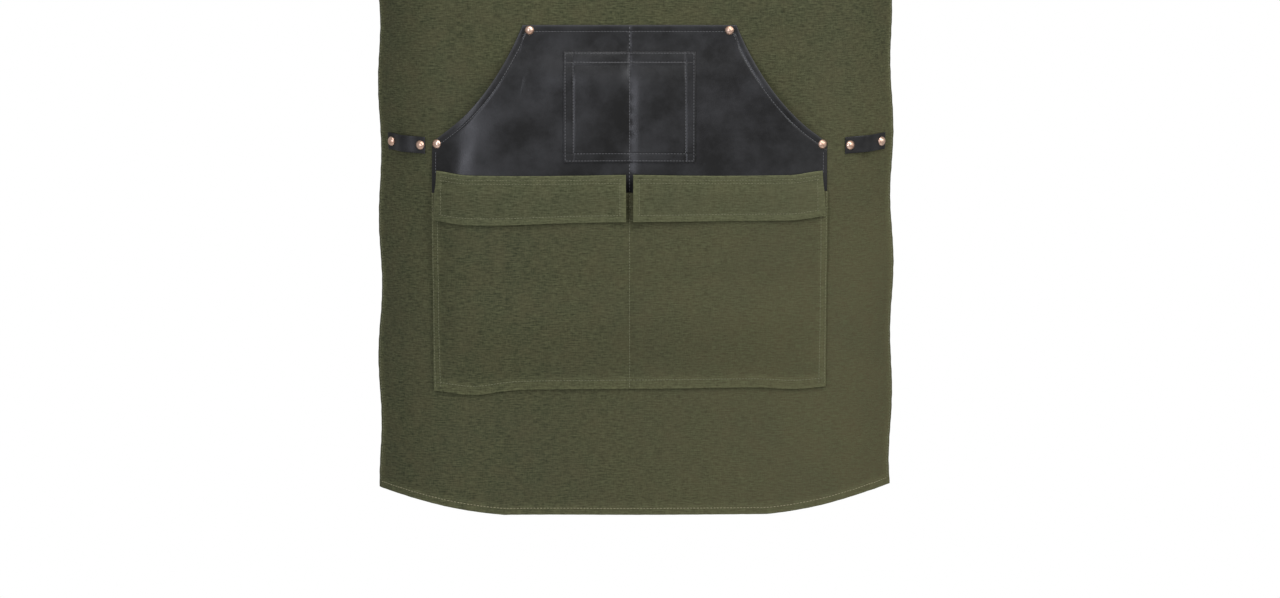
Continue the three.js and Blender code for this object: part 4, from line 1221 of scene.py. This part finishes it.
def rounded_loop(half_width, low, high, radius, steps=6):
    """Corners of a rounded rectangle, as (across, up) places in order."""
    places = []
    for x, z, start in ((half_width - radius, low + radius, -0.5), (half_width - radius, high - radius, 0.0),
                        (radius - half_width, high - radius, 0.5), (radius - half_width, low + radius, 1.0)):
        for a in np.linspace(start * math.pi, (start + 0.5) * math.pi, steps):
            places.append((x + radius * math.cos(a), z + radius * math.sin(a)))
    return places


def tube(name, points, radii, normal, closed=False, around=14):
    """A bar through points that lie in a plane with this normal."""
    points, normal = np.asarray(points, float), np.asarray(normal, float)
    along = np.roll(points, -1, 0) - np.roll(points, 1, 0) if closed else np.gradient(points, axis=0)
    beside = np.cross(along, normal)
    beside /= np.linalg.norm(beside, axis=1, keepdims=True)
    turns = [2 * math.pi * k / around for k in range(around)]
    vertices = [p + r * (b * math.cos(a) + normal * math.sin(a))
                for p, r, b in zip(points, np.broadcast_to(radii, len(points)), beside) for a in turns]
    return ringed_piece(name, vertices, len(points), around, closed)


brass_metal = metal_material("antique_brass", (0.62, 0.44, 0.20, 1), (0.30, 0.20, 0.085, 1), 0.30, 70.0)
for side_name, side in sides:
    outline = rounded_loop(ring_inside / 2 + ring_wire, 0, ring_rise, ring_corner)
    ring = tube("brass_ring_" + side_name, [(side * leg_x + x, -bib_away, bar_z + z) for x, z in outline],
                ring_wire, (0, 1, 0), closed=True)
    ring.data.materials.append(brass_metal)
    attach(ring, "neck_strap")
    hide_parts("strap_ring_" + side_name)

# ---- Neck strap ----
# Two pieces of thick bridle leather. The long one is riveted round the right ring, goes over the hook and
# comes down through the buckle, and the short one holds the buckle to the left ring. Their edges are creased.
strap_width = 0.022
strap_thick = 0.0025
near = 0.0003
arm_z = -0.009
arm_radius = 0.005
bow_z = bar_z + ring_rise
twist_start = 0.5
twist_share = 0.46
skew_length = 0.034
heel_bar = 0.062
frame_wire = 0.0017
frame_length = 0.027
top_bar = heel_bar + frame_length
tail_length = 0.040
lap_length = 0.034
short_lap = 0.024
hole_pitch = 0.0125
hole_radius = 0.0019
hole_count = 7
slot_half_length = 0.007
slot_radius = 0.0024
strap_rivet_at = 0.025
seat = arm_radius + near + strap_thick / 2
leg_slope = math.atan2(leg_x, arm_z - bow_z) - math.asin(seat / math.hypot(leg_x, arm_z - bow_z))
wire_turn_radius = strap_thick / 2 + ring_wire + near
pinched = strap_thick / 2 + near / 2
over_short = wire_turn_radius + strap_thick + near + 0.0002
under_top_bar = -(frame_wire + near + strap_thick / 2 + 0.0002)
tail_lift = pinched + strap_thick + near + 0.0001
front_way = np.array((0, -1.0, 0))


def arm_point(a):
    return np.array((math.cos(a) * seat, -bib_away, arm_z + math.sin(a) * seat))


def leg_ends(side):
    top = arm_point(leg_slope if side > 0 else math.pi - leg_slope)
    return np.array((side * leg_x, -bib_away, bow_z)), top


leg_length = float(np.linalg.norm(leg_ends(1)[1] - leg_ends(1)[0]))


def leg_frame(side, distance, lift=0.0, other_way=False):
    """A frame at a distance up a leg from the ring. The strap turns a quarter on its way up to the arm."""
    foot, top = leg_ends(side)
    up = (top - foot) / leg_length
    turn = math.pi / 2 * float(ease((distance / leg_length - twist_start) / twist_share))
    out = front_way * math.cos(turn) + np.cross(up, front_way) * side * math.sin(turn)
    skew = float(ease(distance / skew_length))
    across = np.array((1.0, 0, 0)) * (1 - skew) + np.cross(up, out) * skew
    across /= np.linalg.norm(across)
    return foot + up * distance + out * lift, -across if other_way else across, out


def behind_frames(side, distances, lift_at):
    frames = [leg_frame(side, d, -lift_at(d)) for d in distances]
    return [(point, across, -out) for point, across, out in frames]


def wire_turn(side, distance, way):
    """Frames round a bar across a leg."""
    frames = []
    for a in np.linspace(math.pi, 0, 13)[1:-1]:
        point, across, out = leg_frame(side, distance)
        ray = out * math.cos(a) + np.cross(out, across) * way * math.sin(a)
        frames.append((point + ray * wire_turn_radius, across, ray))
    return frames


def mix(a, b, t):
    return a + (b - a) * float(t)


def pinch(distance):
    return mix(wire_turn_radius, pinched, ease((distance - 0.005) / 0.014))


def short_pinch(d):
    return max(pinch(d), pinch(heel_bar - d))


def long_lift(d):
    tail = mix(tail_lift, over_short, ease((d - heel_bar + 0.022) / 0.016))
    through = mix(tail, under_top_bar, ease((d - heel_bar - 0.005) / (frame_length - 0.007)))
    return mix(through, 0.0, ease((d - top_bar - 0.004) / 0.022))


def right_lift(d):
    return pinch(d) * (1 - float(ease((d - lap_length) / 0.026)))


long_frames = behind_frames(1, np.arange(lap_length, 0.0035, -0.002), pinch)
long_frames += wire_turn(1, 0, -1)
long_frames += [leg_frame(1, d, right_lift(d))
                for d in np.append(np.arange(0.004, leg_length - 0.002, 0.004), leg_length)]
arm_across = leg_frame(1, leg_length)[1]
long_frames += [(arm_point(a), arm_across, np.array((math.cos(a), 0, math.sin(a))))
                for a in np.linspace(leg_slope, math.pi - leg_slope, 14)[1:-1]]
long_frames += [leg_frame(-1, d, long_lift(d), other_way=True)
                for d in np.concatenate([np.arange(leg_length, top_bar + 0.026, -0.004),
                                         np.arange(top_bar + 0.026, heel_bar - tail_length, -0.0015)])]
long_leather = ribbon("neck_strap_long_leather", long_frames, strap_width, strap_thick,
                      widths=rounded_ends(long_frames, 0.0105, strap_width, first=False))


def cut_with(piece, cutters):
    """Cuts holes in a piece, and keeps the result as its mesh."""
    for cutter in cutters:
        hole = piece.modifiers.new("hole", "BOOLEAN")
        hole.operation = "DIFFERENCE"
        hole.solver = "EXACT"
        hole.object = cutter
    graph = bpy.context.evaluated_depsgraph_get()
    mesh = bpy.data.meshes.new_from_object(piece.evaluated_get(graph))
    piece.modifiers.clear()
    piece.data = mesh
    for cutter in cutters:
        bpy.data.objects.remove(cutter)


punch_profile = ((0, -0.004), (hole_radius, -0.004), (hole_radius, 0.004), (0, 0.004))
punches = []
for i, d in enumerate(heel_bar - 0.022 + hole_pitch * np.arange(hole_count)):
    if not heel_bar - 0.004 < d < top_bar + 0.003:
        place, _, out = leg_frame(-1, d, long_lift(d))
        punches.append(lathe(f"punch_{i}", punch_profile, place, out, 14))
cut_with(long_leather, punches)

short_frames = behind_frames(-1, np.arange(short_lap, 0.0035, -0.002), pinch)
short_frames += wire_turn(-1, 0, -1)
short_frames += [leg_frame(-1, d, short_pinch(d)) for d in np.linspace(0.004, heel_bar - 0.004, 26)]
short_frames += wire_turn(-1, heel_bar, 1)[::-1]
short_frames += behind_frames(-1, np.linspace(heel_bar - 0.004, heel_bar - short_lap, 11),
                              lambda d: pinch(heel_bar - d))
short_leather = ribbon("neck_strap_short_leather", short_frames, strap_width, strap_thick)
slot_place, _, slot_out = leg_frame(-1, heel_bar + 0.001)
left_foot, left_top = leg_ends(-1)
left_up = (left_top - left_foot) / leg_length
cut_with(short_leather, [tube("slot_cutter", [slot_place - left_up * slot_half_length,
                                              slot_place + left_up * slot_half_length],
                              slot_radius, slot_out, around=12)])
for strap, node, frames in ((long_leather, "neck_strap_long", long_frames),
                            (short_leather, "neck_strap_short", short_frames)):
    strap.data.materials.append(strap_leather)
    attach(strap, "neck_strap")
    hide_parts(node)


def on_right_leg(s, h):
    point, _, out = leg_frame(1, strap_rivet_at, pinched + strap_thick / 2)
    return point[None, :], out[None, :]


rivet_at("strap_rivet", on_right_leg, 0.0, 0.0, "neck_strap", 2 * pinched + strap_thick + burr_thick - 0.0002)

# ---- Strap keeper ----
# A narrow leather loop round the short strap and the long strap's tail, sewn end to end on the back.
# It is thinner than the strap and stands just clear of it on all sides.
keeper_thick = 0.0016
keeper_height = 0.010
keeper_at = heel_bar - 0.030
keeper_low = -(pinched + strap_thick / 2) - near - 0.0001 - keeper_thick / 2
keeper_high = tail_lift + strap_thick / 2 + near + 0.0001 + keeper_thick / 2
keeper_half = strap_width / 2 + near + 0.0002 + keeper_thick / 2
point, _, out = leg_frame(-1, keeper_at)
keeper_path = [point + np.cross(left_up, out) * x + out * y
               for x, y in rounded_loop(keeper_half, keeper_low, keeper_high, 0.0016, 5)]
keeper_centre = point + out * (keeper_low + keeper_high) / 2
keeper_frames = []
for i, place in enumerate(keeper_path):
    facing = np.cross(left_up, keeper_path[(i + 1) % len(keeper_path)] - keeper_path[i - 1])
    facing /= np.linalg.norm(facing)
    keeper_frames.append((place, left_up, facing if facing @ (place - keeper_centre) > 0 else -facing))
keeper = ribbon("strap_keeper_leather", keeper_frames, keeper_height, keeper_thick, closed=True,
                crease=0.0016, groove=0.00015)
keeper.data.materials.append(strap_leather)
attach(keeper, "neck_strap")
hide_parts("strap_keeper")

# ---- Buckle ----
# A brass frame of round bar, with a prong that turns on the heel bar and rests on the top bar.
# The prong's eye is bent from the same bar, and its tip is thinner.
frame_half = strap_width / 2 + 0.001 + frame_wire
eye_radius = 0.0033
eye_wire = 0.00125
eye_end = 0.30 * math.pi
prong_rest = frame_wire + near + 0.0014


def leg_place(across, distance, lift):
    point, wide, _ = leg_frame(-1, distance, lift)
    return point + wide * across


buckle_path = [leg_place(x, z, 0.0) for x, z in rounded_loop(frame_half, heel_bar, top_bar, 0.0036)]
buckle = tube("brass_buckle", buckle_path, frame_wire, (0, -1, 0), closed=True)
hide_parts("buckle_frame")
prong_path = [leg_place(0, heel_bar + eye_radius * math.sin(a), eye_radius * math.cos(a))
              for a in np.linspace(-1.35 * math.pi, eye_end, 22)]
prong_size = [eye_wire] * len(prong_path)
for t in np.linspace(0, 1, 12)[1:]:
    lift = mix(eye_radius * math.cos(eye_end), prong_rest, ease(t * 1.6)) + 0.0008 * math.sin(math.pi * t)
    prong_path.append(leg_place(0, mix(heel_bar + eye_radius * math.sin(eye_end), top_bar + 0.003, t),
                                lift - 0.0006 * float(ease((t - 0.85) / 0.15))))
    prong_size.append(0.0014 - 0.0003 * float(ease((t - 0.7) / 0.3)))
prong = tube("brass_prong", prong_path, np.array(prong_size), leg_frame(-1, heel_bar)[1])
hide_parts("buckle_prong")
for piece, body in ((buckle, "neck_strap"), (prong, "buckle_prong")):
    piece.data.materials.append(brass_metal)
    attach(piece, body)

# ---- Waist ties ----
# Cotton webbing, riveted behind the waist corners and hanging straight down. Each free end is turned up and
# sewn, and the head is folded over once under the rivet.
tie_width = 0.025
tie_head = 0.012
tie_length = 0.600
tie_steps = 150
tie_stitch_half = 0.0014
tie_stitch_side = 0.0102
fleck_dark, fleck_light = (0.040, 0.043, 0.024, 1), (0.070, 0.074, 0.042, 1)


def webbing():
    """Herringbone webbing: rib height and a fleck mask, over the strip's own plane."""
    group, given, result = shader_group("webbing_weave", {"Rib": 0.0016}, ("Height", "Fleck"))
    place, across, up = cut_plane(group)
    turn = math_node(group, "DIVIDE", 2 * math.pi, given.outputs["Rib"])
    diagonal = math_node(group, "ADD", up, math_node(group, "PINGPONG", across, 0.0031))
    ribs = math_node(group, "SINE", math_node(group, "MULTIPLY", diagonal, turn))
    fleck = noise_node(group, stretched(group, place, 900, 500), 1.0, 2.0)
    feed(group, result.inputs["Height"], math_node(group, "ADD", ribs, fleck))
    feed(group, result.inputs["Fleck"], ramp(group, fleck, 0.35, 0.7))
    return group


webbing_material, web_tree, web_shader = base_material("olive_webbing", 0.88, specular=0.2)
web = use_group(web_tree, webbing()).outputs
feed(web_tree, web_shader.inputs["Base Color"], mixed(web_tree, web["Fleck"], fleck_dark, fleck_light))
bump(web_tree, web_shader, web["Height"], 0.00022, 0.6)


def strip_threads(frames, offset, deep):
    """Stitches along a strip's outer face, at an offset across it."""
    path = np.array([p + a * offset + o * deep for p, a, o in frames])
    outs = np.array([o for _, _, o in frames])
    reach = reach_along(path)
    threads = []
    for centre in np.arange(stitch_pitch / 2, reach[-1], stitch_pitch):
        tail, head = (np.array([np.interp(centre + d, reach, path[:, k]) for k in range(3)])
                      for d in (-tie_stitch_half, tie_stitch_half))
        out = np.array([np.interp(centre, reach, outs[:, k]) for k in range(3)])
        threads.append(((tail + head) / 2, head - tail, out / np.linalg.norm(out)))
    return threads


for side_name, side in sides:
    tie_frames = []
    tie_top = waist_rivet_height + tie_head
    for h in np.linspace(tie_top, tie_top - tie_length, tie_steps):
        drop = h - waist_rivet_height
        level = waist_rivet_height + drop * ease((abs(drop) - 0.02) / 0.06)  # straight near the rivet
        middle, left, right = over(side * tie_s + np.array([0, -0.0005, 0.0005]), level, -tie_behind)
        wide = (right - left) / np.linalg.norm(right - left)
        facing = np.cross(wide, (0, 0, 1.0))
        tie_frames.append((middle + np.array([0, 0, h - level]), wide, facing / np.linalg.norm(facing)))
    tie = ribbon("waist_tie_webbing_" + side_name, tie_frames, tie_width, tie_thick, crease=0.0018,
                 groove=0.0001)
    tie.data.materials.append(webbing_material)
    threads = []
    for part in (tie_frames[-8:], tie_frames[:5]):
        for offset in (-tie_stitch_side, tie_stitch_side):
            threads += strip_threads(part, offset, tie_thick / 2)
    sewing = thread_piece("waist_tie_stitching_" + side_name, threads, olive_thread)
    for piece in (tie, sewing):
        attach(piece, "waist_tie_" + side_name)
    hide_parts("waist_tie_" + side_name)

# ---- Wall hook ----
# A cast iron plate and arm with a ball end, painted black, held to the wall by two steel wood screws. Its
# paint is duller and rougher in patches.
plate_half_width = 0.015
plate_half_height = 0.048
plate_thick = 0.004
plate_corner = 0.006
plate_steps = ((0.0, 0.0), (-plate_thick + 0.0012, 0.0), (-plate_thick + 0.0004, 0.0003),
               (-plate_thick, 0.0012), (-plate_thick, 0.0035))  # place out, and inset from the outline
arm_reach = 0.097
arm_bend = 0.022
tip_rise = 0.034
arm_foot = ((0.0003, 0.0112), (0.0018, 0.0108), (0.0042, 0.0092), (0.0066, 0.0068), (0.0092, 0.0054))
knob_radius = 0.0075
screw_half = 0.032
screw_length = 0.034
screw_radius = 0.0022
screw_head = [(0, 0.0067), (0.0015, 0.00665), (0.0028, 0.0063), (0.0038, 0.0057), (0.0044, 0.0049),
              (0.0046, 0.0043), (screw_radius, 0.0041)]
slot_reach = 0.006
outline = rounded_loop(plate_half_width, -plate_half_height, plate_half_height, plate_corner, 8)
plate_points = [(x * (1 - inset / plate_half_width), y, z * (1 - inset / plate_half_height))
                for y, inset in plate_steps for x, z in outline]
plate_faces = [face[::-1] for face in ring_faces(len(plate_steps), len(outline))]
plate = new_piece("hook_plate_iron", plate_points, plate_faces, sharp=35)
elbow = np.array((0, -arm_reach + arm_bend, arm_z))
corner_at = np.array((0, -arm_reach, arm_z))
tip = np.array((0, -arm_reach - 0.002, arm_z + tip_rise))
arm_path = [np.array((0, -plate_thick - y, arm_z)) for y, _ in arm_foot]
arm_straight = np.linspace(-plate_thick - 0.0003, elbow[1], 14)[len(arm_foot):-1]
arm_path += [np.array((0, y, arm_z)) for y in arm_straight]
arm_path += [(1 - t) ** 2 * elbow + 2 * t * (1 - t) * corner_at + t * t * tip for t in np.linspace(0, 1, 16)]
arm_sizes = [radius for _, radius in arm_foot] + [arm_radius] * (len(arm_path) - len(arm_foot))
arm = tube("hook_arm_iron", arm_path, np.array(arm_sizes), (1, 0, 0), around=24)
knob_profile = [(knob_radius * math.sin(a), -knob_radius * math.cos(a)) for a in np.linspace(0, math.pi, 15)]
knob = lathe("hook_knob_iron", knob_profile, tip + np.array((0, 0, 0.002)), (0, 0, 1))
iron_paint = metal_material("black_iron", (0.016, 0.016, 0.018, 1), (0.030, 0.029, 0.029, 1), 0.40, 260.0,
                            0.35, 0.18, "Tarnish", 0.00025, 0.5)
for piece in (plate, arm, knob):
    piece.data.materials.append(iron_paint)
    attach(piece, "hook")
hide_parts("hook_backplate")
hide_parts("hook_arm")
steel_metal = metal_material("zinc_steel", (0.50, 0.51, 0.52, 1), (0.34, 0.34, 0.35, 1), 0.32, 220.0)
threads = []
for y in np.arange(0.001, -screw_length + 0.012, -0.0013):
    threads += [(screw_radius - 0.0006, y), (screw_radius, y - 0.00065)]
screw_point = [(screw_radius * 0.5, plate_thick - screw_length + 0.004), (0, plate_thick - screw_length)]
for level, side in (("upper", 1), ("lower", -1)):
    place = np.array((0, 0, side * screw_half))
    screw = lathe("hook_screw_steel_" + level, screw_head + threads + screw_point, place, (0, -1, 0))
    slot_ends = [place + (x, -0.0073, 0) for x in (-slot_reach, slot_reach)]
    groove = tube("screw_slot", slot_ends, 0.0014, (0, 1, 0), around=4)
    cut_with(screw, [groove])
    screw.data.materials.append(steel_metal)
    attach(screw, "hook")
    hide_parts("hook_screw_" + level)
